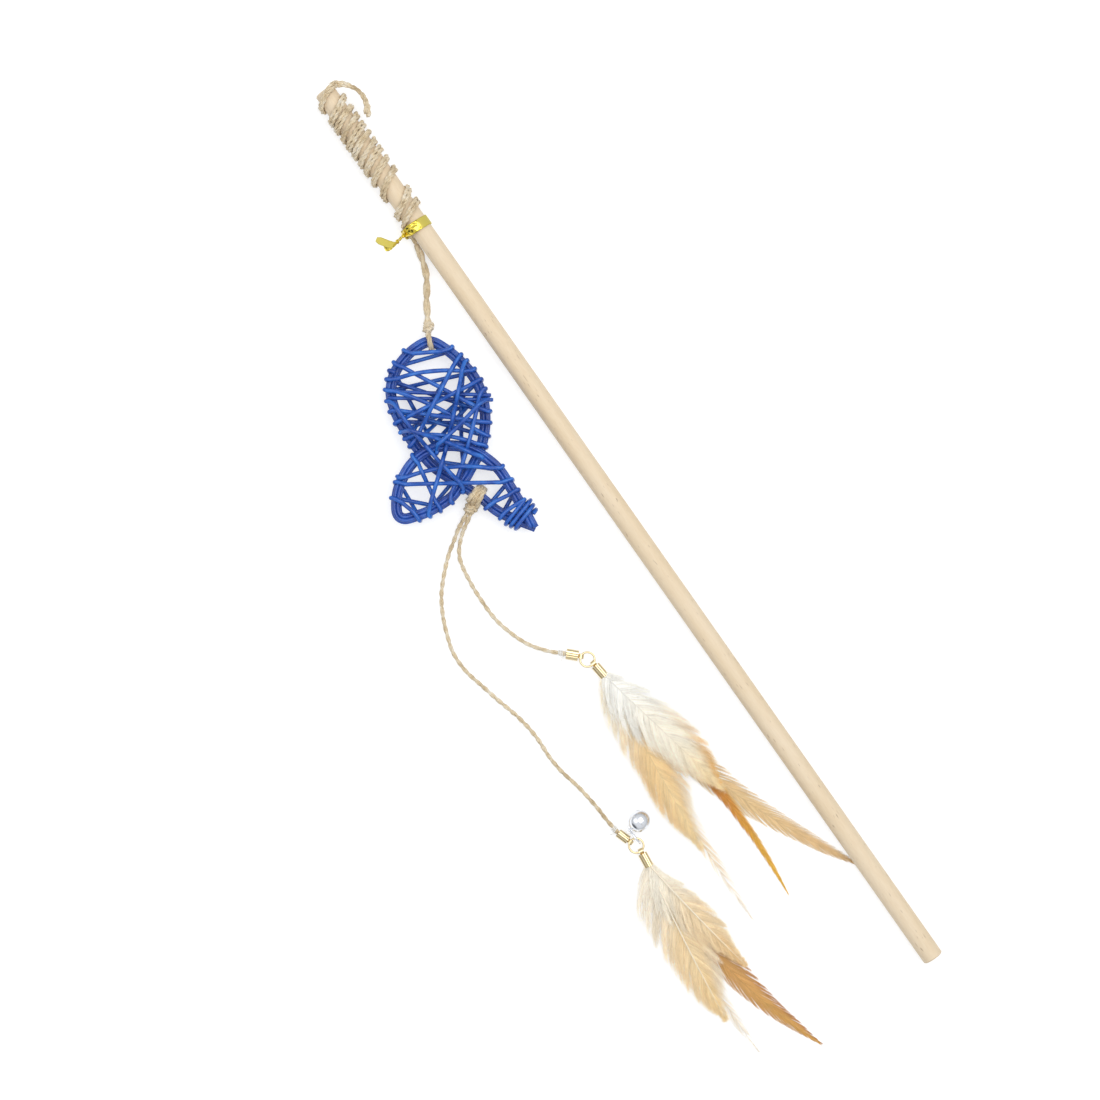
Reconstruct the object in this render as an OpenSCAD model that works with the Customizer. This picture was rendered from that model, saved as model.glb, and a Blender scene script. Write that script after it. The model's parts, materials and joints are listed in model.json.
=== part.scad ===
// Cat teaser wand: a wooden stick, a jute hanger, a bent cane fish wound with cane,
// and two jute drops that end in feathers, one of them with a jingle bell.
// The wand lies on the floor: z is up, the stick runs along x, the toys lie on its +y side.

/* [Stick] */
// Length of the wooden stick
stick_l = 400; // [300:10:500]
// Diameter of the stick
stick_d = 8; // [7:0.5:10]
// Bevel at both ends of the stick
stick_bevel = 0.4; // [0.2:0.1:0.8]
// Height of the bare end above the floor, where a feather runs under the stick
bare_lift = 0.9; // [0.8:0.1:2]

/* [Handle winding] */
// Diameter of the doubled jute twine that is wound round the stick
wrap_d = 2.5; // [2:0.1:2.8]
// Length of the stick that the winding covers
wrap_l = 58; // [50:1:80]
// How far each turn leans along the stick
wrap_lean = 1.5; // [0:0.1:2]
// Distance from the winding to the place where the twine leaves the stick
exit_gap = 9; // [8.5:0.5:16]

/* [Twist tie] */
// Width of the foil strip
tie_w = 4; // [2:0.5:5]
// Thickness of the foil strip
tie_t = 0.25; // [0.2:0.05:0.4]
// Distance from the winding to the middle of the strip
tie_gap = 3.7; // [3.4:0.1:5]
// Length of the long tail of the strip
tie_tail_l = 8; // [4:0.5:12]

/* [Twine] */
// Diameter of the doubled hanger twine
hanger_d = 2.8; // [2.2:0.1:3]
// Diameter of the single twine of the drops
drop_d = 1.66; // [1.2:0.02:1.8]
// Diameter of the twine in the loops round the fish
loop_d = 1.8; // [1.4:0.1:2]

/* [Fish] */
// Length of the fish from its top to the tip of the tail
fish_l = 70; // [60:1:90]
// Width unit of the fish, from which its outline is drawn
fish_w = 52.6; // [46:0.1:66]
// Diameter of a frame cane
cane_d = 1.28; // [1:0.02:1.4]
// Space between two frame canes
cane_gap = 0.08; // [0.05:0.01:0.2]
// Diameter of the winding cane
lace_d = 1.5; // [1.2:0.1:1.6]
// Least space between two passes of the winding cane
lace_gap = 0.45; // [0.42:0.01:0.8]

/* [Fittings] */
// Width of the short drop's crimp
short_crimp_w = 4.1; // [3.4:0.1:5]
// Width of the long drop's crimp
long_crimp_w = 3.4; // [3.4:0.1:4]
// Width of the feather caps
cap_w = 3.6; // [3.4:0.1:5]
// Thickness of crimps and caps
fitting_t = 2.5; // [2.4:0.1:3]
// Length of a crimp's folded body
crimp_l = 4.6; // [4:0.1:6]
// Length of a cap's folded body
cap_l = 5.5; // [5:0.1:7]
// Thickness of the sheet that crimps and caps are folded from
sheet_t = 0.3; // [0.2:0.05:0.35]
// Radius of the eye's hole
eye_r = 0.85; // [0.8:0.05:1]
// Width of the eye's rolled strap
eye_w = 1.7; // [1.2:0.1:1.8]

/* [Rings and bell] */
// Radius of a jump ring, to the middle of its wire
ring_r = 2.77; // [2.6:0.01:3.2]
// Diameter of the rings' wire
wire_d = 0.76; // [0.6:0.02:0.8]
// Radius of the bell's ring, to the middle of its wire
bell_ring_r = 3.27; // [3.1:0.01:3.6]
// Outer radius of the bell
bell_r = 4.3; // [4:0.1:5]
// Thickness of the bell's shell
bell_t = 0.35; // [0.25:0.05:0.5]
// Radius of the pellet in the bell
pellet_r = 1.2; // [0.8:0.1:1.5]

/* [Feathers] */
// Length unit of the feathers
feather_l = 100; // [80:1:120]
// Width unit of the feathers
feather_w = 10; // [7:0.5:12]
// Thickness of a hackle feather
hackle_t = 0.5; // [0.4:0.05:0.6]
// Thickness of a down feather
down_t = 1.5; // [1:0.1:1.6]

/* [Hidden] */
$fn = 48;

// Clearances: what lies on another piece, what moves beside it, and one overrun for all cuts
lie_gap = 0.1;
soft_gap = 0.3;
cut_over = 1;

// Place of the stick's middle in the part's frame
place_x = -0.3;
place_y = -36.9;

stick_r = stick_d / 2;
wrap_r = wrap_d / 2;
wrap_path_r = stick_r + lie_gap + wrap_r;
exit_run = wrap_l + exit_gap;
tie_run = wrap_l + tie_gap;
bare_z = stick_r + bare_lift;
// The tip lies as high as the winding's far end needs
tip_z = (wrap_path_r + wrap_r - bare_z * wrap_l / stick_l) / (1 - wrap_l / stick_l);
stick_tilt = asin((tip_z - bare_z) / stick_l);

// Where the hanger leaves the stick: an angle round the stick, and a place in the stick's frame
exit_turn = -30;
hanger_r = hanger_d / 2;
exit_path_r = stick_r + soft_gap + hanger_r;
exit_x = place_x - stick_l / 2 + (stick_l - exit_run) * cos(stick_tilt)
    - exit_path_r * sin(exit_turn) * sin(stick_tilt);
exit_y = place_y + exit_path_r * cos(exit_turn);
exit_z = bare_z + (stick_l - exit_run) * sin(stick_tilt) + exit_path_r * sin(exit_turn) * cos(stick_tilt);
// The hanger's direction on the floor
hang_turn = 144.9;

// Turns of the handle winding: where each crosses the top, as shares of wrap_l from the tip
turn_shares = [0.03, 0.16, 0.22, 0.29, 0.36, 0.42, 0.49, 0.55, 0.63, 0.72, 0.90, 0.97, 1.05];
turn_rings = 24;
// The winding's free end beside the tip: x back from the tip, y from the axis, z up from the axis
loose_end = [[17, -7.9, 3.6], [15, -9.5, 3.2], [12, -10.6, 2.8], [8.5, -10.8, 2.2], [5, -9.6, 1.6],
    [2.2, -7.6, 1]];
wrap_exit_gap = 2.4;
// From the tip's -y side over the top to the place under the foil strip where the twine leaves
winding_first = -0.22;
winding_last = len(turn_shares) - 2 + (90 - exit_turn) / 360;
winding_end_run = exit_run - wrap_exit_gap;

// Foil strip: a round band that leans to the twine's side, a twisted neck and two tails
tie_lie_gap = 0.15;
tie_room = 0.2;
tie_in_r = stick_r + (wrap_d + lie_gap) / 2 + tie_room;
tie_off = tie_in_r - stick_r - tie_lie_gap;
tie_neck_l = 3;
tie_neck_d = 1.6;
tie_neck_y = 2;
tie_neck_sink = 0.3;
tie_tail_turn = 20;
tie_tail_off = 0.4;

// Routes of the free twines: x down the hanger, y to its right, z up from the floor.
// The hanger's is measured from where it leaves the stick, the drops' from the tail knot.
hanger_route = [[3.5, 1.6, 2.9], [8, 3, 2], [12, 3.8, 1.6], [17, 3.9, 1.5], [22, 3.9, 1.8],
    [26, 4.2, 2.8], [29.6, 4.5, 4.2]];
short_route = [[0.4, 0.9, 3], [3.7, -0.2, 1.8], [7.7, -0.9, 1.1], [11.2, -0.7, 1], [14.7, 0.5, 1],
    [21.1, 3.7, 1], [28, 8, 1], [34.4, 12.8, 1], [39.2, 18.1, 1], [43.5, 24.4, 1],
    [45.8, 30.3, 1.1], [46.9, 35.1, 1.5], [47.5, 39.5, 1.8], [48, 42.5, 1.8]];
long_route = [[-0.4, -0.9, 3], [2.5, -2.1, 1.8], [5.3, -3.2, 1.1], [9.7, -4.8, 1], [14.7, -6.1, 1],
    [24.3, -7.6, 1], [32.3, -7.2, 1], [39.2, -5.8, 1], [47.2, -3.2, 1], [54.1, 1.6, 1],
    [59.4, 7.4, 1], [65.1, 13.8, 1], [72, 21.9, 1], [79.2, 28.4, 1], [86.7, 33.3, 1],
    [92.4, 38.2, 1], [98.5, 44.7, 1], [105.3, 50.9, 1.1], [110.5, 55, 1.5], [115.3, 59.3, 1.8],
    [117.1, 61.7, 1.8]];

// Fish: the hanger's loop holds it at the top of its outline, its apex
apex_x = 36.8;
apex_y = 5.3;
cane_r = cane_d / 2;
lace_r = lace_d / 2;
cane_step = cane_d + cane_gap;
row_step = cane_step * sin(60);
bundle_h = row_step + cane_d;
bundle_w = 2 * cane_step + cane_d;
level_z = (bundle_h + cane_gap) / 2;
lace_z = level_z + bundle_h / 2 + lie_gap + lace_r;
lace_out = bundle_w / 2 + lie_gap + lace_r;
lace_pitch = lace_d + lace_gap;
back_layers = 3;
fish_mid_z = lace_z + (back_layers - 1) * lace_pitch + lace_r;
// The frame's middle line: shares of fish_l and fish_w from the apex, and its level, -1 low or 1 high
frame_shares = [[0.985, 0.71, -1], [0.92, 0.50, -1], [0.835, 0.355, -1], [0.757, 0.19, -1],
    [0.68, 0.035, -1], [0.58, -0.085, -1], [0.486, -0.17, -1], [0.386, -0.243, -1], [0.286, -0.28, -1], [0.19, -0.263, -1],
    [0.105, -0.2, -1], [0.035, -0.105, -1], [0, 0, -1], [0.037, 0.107, -1], [0.1, 0.21, -1],
    [0.185, 0.31, -1], [0.286, 0.373, -1], [0.394, 0.396, -1], [0.5, 0.387, -1], [0.595, 0.355, -1],
    [0.642, 0.325, -0.9], [0.688, 0.292, 0], [0.735, 0.256, 0.95], [0.79, 0.205, 1], [0.842, 0.15, 1],
    [0.903, 0.026, 1], [0.94, -0.095, 1], [0.955, -0.185, 1], [0.92, -0.235, 1], [0.82, -0.232, 1],
    [0.74, -0.195, 1], [0.657, -0.127, 1], [0.594, -0.026, 1], [0.564, 0.107, 1], [0.571, 0.252, 1],
    [0.618, 0.385, 1], [0.694, 0.5, 1], [0.787, 0.58, 1], [0.88, 0.655, 1], [0.97, 0.72, 1]];
// Places of the five canes across the bundle: steps to the side and rows up
cane_places = [[-1, -0.5], [0, -0.5], [1, -0.5], [-0.5, 0.5], [0.5, 0.5]];
// Cross canes: shares of the fish at both ends
cross_shares = [[[0.27, -0.31], [0.29, 0.44]], [[0.305, -0.30], [0.315, 0.455]]];
// Rim places that the winding cane passes, front and back in turn: a share of the frame's
// middle line, counted in its points, then how far the pass to the next place bows
rim_shares = [[10.45, 0], [13.3, 0], [9.7, 0], [16.85, 0], [8.75, 0.061], [14.8, 0], [8.25, 0.04],
    [18.05, 0], [7.15, 0], [17.4, 0], [6.55, 0], [15.35, 0], [5.3, 0], [13.9, 0], [5.75, 0.066], [18.6, 0],
    [24.1, -0.03], [15.8, 0], [30, 0.07], [35.95, 0], [31.35, 0], [24.75, 0], [28.75, 0], [25.9, 0],
    [29.6, 0], [36.7, 0], [1.5, 0], [37.3, 0], [0.9, 0], [37.85, 0]];
// The winding cane comes to its full height this far from the rim
rise_l = 5.2;
pass_step = 9;
// A wrap round the rim, from one face to the other: shares of lace_out and lace_z
wrap_shares = [[0.45, 1], [0.9, 0.95], [1, 0.72], [1, -0.72], [0.9, -0.95], [0.45, -1]];
end_share = -0.15;
// The binding at the tip of the tail: its place, and its half widths as shares of the bundle's width
bind_shares = [0.945, 0.675];
bind_turn = 48.7;
bind_turns = 3;
bind_rings = 12;
bind_wide_share = 1.52;
bind_narrow_share = 1.05;
cross_z = bundle_h / 2 - level_z + lie_gap + lace_r;

// Jute round the tail: its place on the frame's right leg, and the two stems that the drops hang from
tail_shares = [0.828, 0.342];
tail_turn = 58;
loop_r = loop_d / 2;
loop_gap = 0.15;
loop_path_r = norm([bundle_w / 2, bundle_h / 2]) + loop_gap + loop_r;
knot_r = 2.5;
knot_l = 3.6;
bar_z = fish_mid_z - level_z;
tail_x = apex_x + tail_shares[0] * fish_l;
tail_y = apex_y + tail_shares[1] * fish_w;
tail_reach = [12.5, -6.2];
knot_share = 0.38;
pivot_x = tail_x + tail_reach.x;
pivot_y = tail_y + tail_reach.y;
pivot_z = 3;
drop_r = drop_d / 2;
drop_side = 1;
drop_turn = -21.7;
stem_r = 0.95;

// Crimps, rings and caps: directions on the floor, in the hanger's frame
fitting_z = 1.8;
pocket_depth = 2.85;
neck_l = eye_r + sheet_t / 2;
ridge_inset = 0.1;
eye_run = neck_l + crimp_l - pocket_depth;
short_crimp_turn = 80.2;
short_ring_turn = 63.9;
short_cap_eye_turn = 57.8;
short_cap_turn = 40.9;
long_crimp_turn = 53.1;
long_ring_turn = 57.4;
long_cap_eye_turn = 40.5;
long_cap_turn = 28.7;
function way(turn) = [cos(turn), sin(turn), 0];
short_eye = short_route[len(short_route) - 1] + eye_run * way(short_crimp_turn);
short_ring = short_eye + ring_r * way(short_ring_turn);
short_cap_eye = short_ring + ring_r * way(short_cap_eye_turn);
long_eye = long_route[len(long_route) - 1] + eye_run * way(long_crimp_turn);
long_ring = long_eye + ring_r * way(long_ring_turn);
long_cap_eye = long_ring + ring_r * way(long_cap_eye_turn);

// The bell's ring hangs on the long drop's ring, and the bell's shank on that
bell_hook = long_ring - ring_r * way(0);
bell_ring_turn = 39.2;
bell_hang_turn = 62;
ring_slack = 0.2;
bell_hang_r = bell_ring_r - wire_d - ring_slack;
bell_ring_place = bell_hook - bell_hang_r * cos(bell_hang_turn) * way(bell_ring_turn)
    + [0, 0, bell_hang_r * sin(bell_hang_turn)];
shank_r = 0.95;
shank_wire_r = 0.32;
bell_turn = -48.7;
shank_place = bell_ring_place - bell_ring_r * way(bell_ring_turn);
shank_sink = 0.16;
bell_flat = shank_place - (bell_r + shank_r - shank_sink) * way(bell_turn);
bell_place = [bell_flat.x, bell_flat.y, bell_r];
bell_in_r = bell_r - bell_t;
pellet_gap = 0.05;
slit_w = 0.9;
slit_reach = 3;
slit_hole_r = 0.9;

// Feathers: quills lie one above another in the cap, and their vanes part over the same run
quill_r = 0.16;
quill_step = 0.38;
quill_in = 2.5;
part_run = 12;
feather_rings = 15;
// The lens section of a vane: shares of its half width and half thickness
lens_shares = [[-1, 0], [-0.6, 0.7], [0, 1], [0.6, 0.7], [1, 0], [0.6, -0.7], [0, -1], [-0.6, -0.7]];
hackle_step = hackle_t + soft_gap;
hackle_z = 0.5;

// Plain helpers
function unit(v) = v / norm(v);
function flat_side(v) = unit([-v.y, v.x, 0]);

// Catmull-Rom curve through a list of points, at a place counted in points
function curve_at(p, t) =
    let (n = len(p), i = min(floor(t), n - 2), u = t - i,
        a = p[max(i - 1, 0)], b = p[i], c = p[i + 1], d = p[min(i + 2, n - 1)])
    0.5 * (2 * b + (c - a) * u + (2 * a - 5 * b + 4 * c - d) * u * u + (3 * b - a - 3 * c + d) * u * u * u);
function curve_dir(p, t) = unit(curve_at(p, min(t + 0.05, len(p) - 1)) - curve_at(p, max(t - 0.05, 0)));

// Directions along a route, and a side carried along it without twist
function route_dirs(p) = let (n = len(p))
    [for (i = [0 : n - 1]) unit(unit(p[min(i + 1, n - 1)] - p[max(i - 1, 0)]))];
function carry_side(side, dir) = unit(side - (side * dir) * dir);
function route_sides(t) =
    [for (i = 0, u = carry_side(abs(t[0].z) < 0.9 ? [0, 0, 1] : [1, 0, 0], t[0]); i < len(t);
        i = i + 1, u = i < len(t) ? carry_side(u, t[i]) : u) u];

// A tube of any number of sides along a route, with a radius for each ring
module tube(p, radii, sides) {
    t = route_dirs(p);
    u = route_sides(t);
    n = len(p);
    points = [for (i = [0 : n - 1], k = [0 : sides - 1])
        let (a = 360 * (k + 0.5) / sides)
        p[i] + radii[i] * (cos(a) * u[i] + sin(a) * cross(t[i], u[i]))];
    walls = [for (i = [0 : n - 2], k = [0 : sides - 1])
        let (a = i * sides + k, b = i * sides + (k + 1) % sides)
        each [[a, a + sides, b], [b, a + sides, b + sides]]];
    ends = [for (k = [1 : sides - 2]) each [[0, k, k + 1],
        [(n - 1) * sides, (n - 1) * sides + k + 1, (n - 1) * sides + k]]];
    polyhedron(points = points, faces = concat(walls, ends));
}

// A plain tube of one radius
module even_tube(p, r, sides) {
    tube(p, [for (i = [0 : len(p) - 1]) r], sides);
}

// A free twine: a tube with a round start, on which it turns, and a flat end
module twine(route, d) {
    back = unit(route[0] - route[1]);
    starts = [75, 50, 25];
    points = concat([for (a = starts) route[0] + back * d / 2 * sin(a)], route);
    radii = concat([for (a = starts) d / 2 * cos(a)], [for (i = [0 : len(route) - 1]) d / 2]);
    tube(points, radii, 8);
}

// Least distance between two straight pieces a-b and c-d
function near_share(v) = min(max(v, 0), 1);
function span(a, b, c, d) =
    let (u = b - a, v = d - c, w = a - c, uu = u * u, vv = v * v, uv = u * v, uw = u * w, vw = v * w,
        den = uu * vv - uv * uv,
        s0 = den > 0.000001 ? near_share((uv * vw - uw * vv) / den) : 0,
        t0 = (uv * s0 + vw) / vv,
        t = near_share(t0),
        s = t == t0 ? s0 : near_share((t * uv - uw) / uu))
    norm(w + s * u - t * v);
function far_apart(a, b, reach) = abs(a.x - b.x) > reach || abs(a.y - b.y) > reach;
// Least gap of a tube to itself, for pieces at least skip rings apart
function self_gap(p, d, skip, reach) =
    min([for (i = [0 : len(p) - 2 - skip], j = [i + skip : len(p) - 2])
        if (!far_apart(p[i], p[j], reach)) span(p[i], p[i + 1], p[j], p[j + 1])]) - d;

// Frames that the pieces are drawn in
module on_stick() {
    translate([place_x - stick_l / 2, place_y, bare_z])
        rotate([0, -stick_tilt, 0])
            children();
}

module on_hanger() {
    translate([exit_x, exit_y, 0])
        rotate([0, 0, hang_turn])
            children();
}

module on_fish() {
    on_hanger()
        translate([apex_x, apex_y, fish_mid_z])
            children();
}

// A ring of round wire, its axis along z
module wire_ring(r, d) {
    rotate_extrude($fn = 48)
        translate([r, 0])
            circle(d = d, $fn = 16);
}

// The stick, bevelled at both ends
module stick() {
    color("burlywood")
        on_stick()
            rotate([0, 90, 0]) {
                translate([0, 0, stick_bevel])
                    cylinder(r = stick_r, h = stick_l - 2 * stick_bevel);
                cylinder(r1 = stick_r - stick_bevel, r2 = stick_r, h = stick_bevel);
                translate([0, 0, stick_l - stick_bevel])
                    cylinder(r1 = stick_r, r2 = stick_r - stick_bevel, h = stick_bevel);
            }
}

// A place on the stick: run is measured back from the tip, turn about the stick's axis
function round_stick(run, r, turn) = [stick_l - run, r * cos(turn), r * sin(turn)];
function winding_run(u) =
    let (n = len(turn_shares), i = min(max(floor(u), 0), n - 2))
    u <= 0 ? wrap_l * turn_shares[0] :
    u >= n - 1 ? wrap_l * turn_shares[n - 1] :
    wrap_l * (turn_shares[i] + (turn_shares[i + 1] - turn_shares[i]) * (u - i));
function winding_turns() =
    [for (k = [0 : round((winding_last - winding_first) * turn_rings)])
        let (u = winding_first + k / turn_rings, turn = 90 - 360 * u)
        round_stick(winding_run(u) + wrap_lean * cos(turn), wrap_path_r, turn)];
function winding_route() = concat(
    [for (p = loose_end) [stick_l - p.x, p.y, p.z]],
    winding_turns(),
    [for (run = [winding_end_run - 2 * wrap_d, winding_end_run]) round_stick(run, wrap_path_r, exit_turn)]);

// Doubled jute twine wound round the stick, one end loose beside the tip
module handle_winding() {
    route = winding_route();
    gap = self_gap(route, wrap_d, 4, 3 * wrap_d);
    echo(handle_winding_gap = gap, rings = len(route));
    color("tan")
        on_stick()
            even_tube(route, wrap_r, 6);
}

// Foil strip twisted round the stick and the twine
module twist_tie() {
    color("gold")
        on_stick()
            translate([stick_l - tie_run, 0, 0])
                rotate([0, 90, 0])
                    rotate([0, 0, 90]) {
                        translate([tie_off * cos(exit_turn), tie_off * sin(exit_turn), -tie_w / 2])
                            tie_band();
                        tie_tails();
                    }
}

module tie_band() {
    difference() {
        cylinder(r = tie_in_r + tie_t, h = tie_w);
        translate([0, 0, -cut_over])
            cylinder(r = tie_in_r, h = tie_w + 2 * cut_over);
    }
}

module tie_tails() {
    reach = tie_in_r + tie_off * cos(exit_turn) - tie_neck_sink;
    translate([reach, tie_neck_y, 0])
        rotate([0, 90, 0])
            cylinder(d = tie_neck_d, h = tie_neck_l);
    for (side = [-1, 1])
        translate([reach + tie_neck_l - tie_neck_d / 2, tie_neck_y, 0])
            rotate([0, side * tie_tail_turn, 0])
                translate([0, -tie_t, -tie_neck_d / 2 + side * tie_tail_off])
                    cube([tie_tail_l, tie_t * 2, tie_neck_d]);
}

// Hanger twine, from the stick to the fish
module hanger_twine() {
    color("tan")
        on_hanger()
            twine(concat([[0, 0, exit_z]], hanger_route), hanger_d);
}

// Sets children along z from one place towards another
module along(a, b) {
    v = b - a;
    translate(a)
        rotate([0, acos(v.z / norm(v)), atan2(v.y, v.x)])
            children();
}

// A knot: a barrel with a turn of twine over it
module knot(r, l) {
    cylinder(r1 = 0.7 * r, r2 = r, h = l / 3);
    translate([0, 0, l / 3])
        cylinder(r = r, h = l / 3);
    translate([0, 0, 2 * l / 3])
        cylinder(r1 = r, r2 = 0.7 * r, h = l / 3);
    translate([0, 0, l / 2])
        rotate([25, 0, 0])
            wire_ring(r - loop_r / 2, loop_d * 0.8);
}

// The hanger's loop round the top of the fish, and its knot
module hanger_loop() {
    last = hanger_route[len(hanger_route) - 1];
    before = hanger_route[len(hanger_route) - 2];
    color("tan")
        on_hanger() {
            translate([apex_x, apex_y, bar_z])
                rotate([90, 0, 12])
                    wire_ring(loop_path_r, loop_d);
            along(last, 2 * last - before)
                knot(0.9 * knot_r, knot_l);
        }
}

// The frame: five canes bent side by side, from the right tail round the top to the left tail
function frame_line() = [for (s = frame_shares) [s.x * fish_l, s.y * fish_w, s.z * level_z]];
function cane_route(place) =
    let (line = frame_line())
    [for (k = [0 : 2 * (len(line) - 1)])
        curve_at(line, k / 2) + place.x * cane_step * flat_side(curve_dir(line, k / 2))
            + [0, 0, place.y * row_step]];

module fish_cane(place) {
    color("royalblue")
        on_fish()
            even_tube(cane_route(place), cane_r, 6);
}

// A straight cane laid across the frame
module fish_cross_cane(shares) {
    a = [shares[0].x * fish_l, shares[0].y * fish_w, cross_z];
    b = [shares[1].x * fish_l, shares[1].y * fish_w, cross_z];
    color("royalblue")
        on_fish()
            along(a, b)
                cylinder(r = lace_r, h = norm(b - a), $fn = 24);
}

// The winding cane: where it passes the rim, how its passes bow, and in which layer each one lies,
// the lowest that no earlier pass of its face fills where the two cross
function rim_places(line) = [for (s = rim_shares) let (p = curve_at(line, s.x)) [p.x, p.y, 0]];
function pass_bend(p, i) =
    let (v = p[i + 1] - p[i])
    (p[i] + p[i + 1]) / 2 + 2 * rim_shares[i].y * norm(v) * flat_side(v);
function pass_at(p, i, t) =
    (1 - t) * (1 - t) * p[i] + 2 * t * (1 - t) * pass_bend(p, i) + t * t * p[i + 1];
function pass_line(p, i) = let (n = rim_shares[i].y == 0 ? 1 : 6) [for (k = [0 : n]) pass_at(p, i, k / n)];
function lines_gap(a, b) =
    min([for (i = [0 : len(a) - 2], j = [0 : len(b) - 2]) span(a[i], a[i + 1], b[j], b[j + 1])]) - lace_d;
function least_free(used, k = 0) = len([for (u = used) if (u == k) u]) == 0 ? k : least_free(used, k + 1);
function pass_layers(p, done = []) =
    let (i = len(done))
    i == len(p) - 1 ? done :
    let (line = pass_line(p, i),
        used = [for (j = [i % 2 : 2 : i - 1]) if (lines_gap(line, pass_line(p, j)) < lace_gap) done[j]])
    pass_layers(p, concat(done, [least_free(used)]));
function face_of(i) = i % 2 == 0 ? 1 : -1;
function wrap_rings(line, p, i) =
    let (side = flat_side(curve_dir(line, rim_shares[i].x)),
        way_in = i > 0 ? unit(p[i] - p[i - 1]) : [0, 0, 0],
        way_out = i < len(p) - 1 ? unit(p[i + 1] - p[i]) : [0, 0, 0],
        out = (way_in - way_out) * side < 0 ? -side : side,
        n = len(wrap_shares))
    [for (k = [0 : n - 1])
        let (free = (i == 0 && k == 0) || (i == len(p) - 1 && k == n - 1))
        p[i] + out * lace_out * (free ? end_share : wrap_shares[k].x)
            - [0, 0, face_of(i) * lace_z * wrap_shares[k].y]];
function pass_rings(p, i, layer) =
    let (l = norm(p[i + 1] - p[i]), rise = min(rise_l, l / 3), n = max(2, round(l / pass_step)))
    [for (k = [0 : n - 1])
        pass_at(p, i, (rise + (l - 2 * rise) * k / (n - 1)) / l)
            + [0, 0, face_of(i) * (lace_z + lace_pitch * layer)]];
function lace_route() =
    let (line = frame_line(), p = rim_places(line), layers = pass_layers(p))
    [for (i = [0 : len(p) - 1]) each concat(wrap_rings(line, p, i),
        i < len(p) - 1 ? pass_rings(p, i, layers[i]) : [])];

module fish_winding() {
    route = lace_route();
    gap = self_gap(route, lace_d, 5, 3 * pass_step);
    echo(fish_winding_gap = gap, rings = len(route));
    color("cornflowerblue")
        on_fish()
            even_tube(route, lace_r, 6);
}

// The binding round both legs at the tip of the tail, tapering with them
function soft_square(v) = sign(v) * pow(abs(v), 0.6);
function bind_route() =
    let (n = bind_turns * bind_rings,
        wide = bind_wide_share * bundle_w + lie_gap + lace_r,
        narrow = bind_narrow_share * bundle_w + lie_gap + lace_r)
    [for (k = [0 : n])
        let (share = k / n, a = 360 * k / bind_rings + 60, half = wide + (narrow - wide) * share)
        [(share - 0.5) * bind_turns * lace_pitch, half * soft_square(cos(a)),
            (lace_z + lie_gap) * soft_square(sin(a))]];

module fish_tip_binding() {
    route = bind_route();
    gap = self_gap(route, lace_d, 4, 8 * lace_d);
    echo(fish_tip_binding_gap = gap, rings = len(route));
    color("cornflowerblue")
        on_fish()
            translate([bind_shares.x * fish_l, bind_shares.y * fish_w, 0])
                rotate([0, 0, bind_turn])
                    even_tube(route, lace_r, 6);
}

// The tail knot: two turns of twine round the right leg, a knot, and a stem for each drop
module tail_knot() {
    knot_at = [tail_x, tail_y, bar_z] + knot_share * [tail_reach.x, tail_reach.y, pivot_z - bar_z];
    out = [cos(drop_turn), sin(drop_turn), 0];
    side = [-sin(drop_turn), cos(drop_turn), 0];
    color("tan")
        on_hanger() {
            for (k = [-0.5, 0.5])
                translate([tail_x, tail_y, bar_z] + k * (loop_d + soft_gap) * way(tail_turn))
                    rotate([0, 90, tail_turn])
                        wire_ring(loop_path_r, loop_d);
            along(knot_at - knot_l / 2 * out, knot_at + knot_l / 2 * out)
                knot(knot_r, knot_l);
            for (k = [-drop_side, drop_side]) {
                a = knot_at + k * side;
                b = [pivot_x, pivot_y, pivot_z] + k * side - (drop_r + soft_gap) * out;
                along(a, b)
                    cylinder(r = stem_r, h = norm(b - a), $fn = 24);
            }
        }
}

// A flattened tube with round sides, along x
module flat_tube(w, t, l) {
    rotate([90, 0, 90])
        linear_extrude(l) {
            square([w - t, t], center = true);
            for (side = [-1, 1])
                translate([side * (w - t) / 2, 0])
                    circle(d = t, $fn = 32);
        }
}

// A crimp or cap folded from sheet: a hollow flattened body with a rolled ridge, and an eye.
// Its eye is at zero and its body lies along x, open at the far end.
module fitting(w, l, pocket) {
    ridge_r = eye_w / 2 - ridge_inset;
    difference() {
        union() {
            translate([neck_l, 0, 0])
                flat_tube(w, fitting_t, l);
            translate([neck_l, 0, fitting_t / 2 - ridge_r / 2])
                rotate([0, 90, 0])
                    cylinder(r = ridge_r, h = l, $fn = 32);
        }
        translate([neck_l + l - pocket, 0, 0])
            flat_tube(w - 2 * sheet_t, fitting_t - 2 * sheet_t, pocket + cut_over);
    }
    difference() {
        union() {
            rotate([90, 0, 0])
                cylinder(r = eye_r + sheet_t, h = eye_w, center = true);
            translate([0, -eye_w / 2, -sheet_t])
                cube([neck_l + sheet_t, eye_w, 2 * sheet_t]);
        }
        rotate([90, 0, 0])
            cylinder(r = eye_r, h = eye_w + cut_over, center = true);
    }
}

module on_drops() {
    on_hanger()
        translate([pivot_x, pivot_y, 0])
            children();
}

module drop_twine(route) {
    color("tan")
        on_drops()
            twine(route, drop_d);
}

module crimp(eye, turn, w) {
    color("khaki")
        on_drops()
            translate(eye)
                rotate([0, 0, turn + 180])
                    fitting(w, crimp_l, pocket_depth);
}

module cap(eye, turn) {
    color("khaki")
        on_drops()
            translate(eye)
                rotate([0, 0, turn])
                    fitting(cap_w, cap_l, cap_l - sheet_t);
}

module jump_ring(place) {
    color("khaki")
        on_drops()
            translate(place)
                wire_ring(ring_r, wire_d);
}

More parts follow.
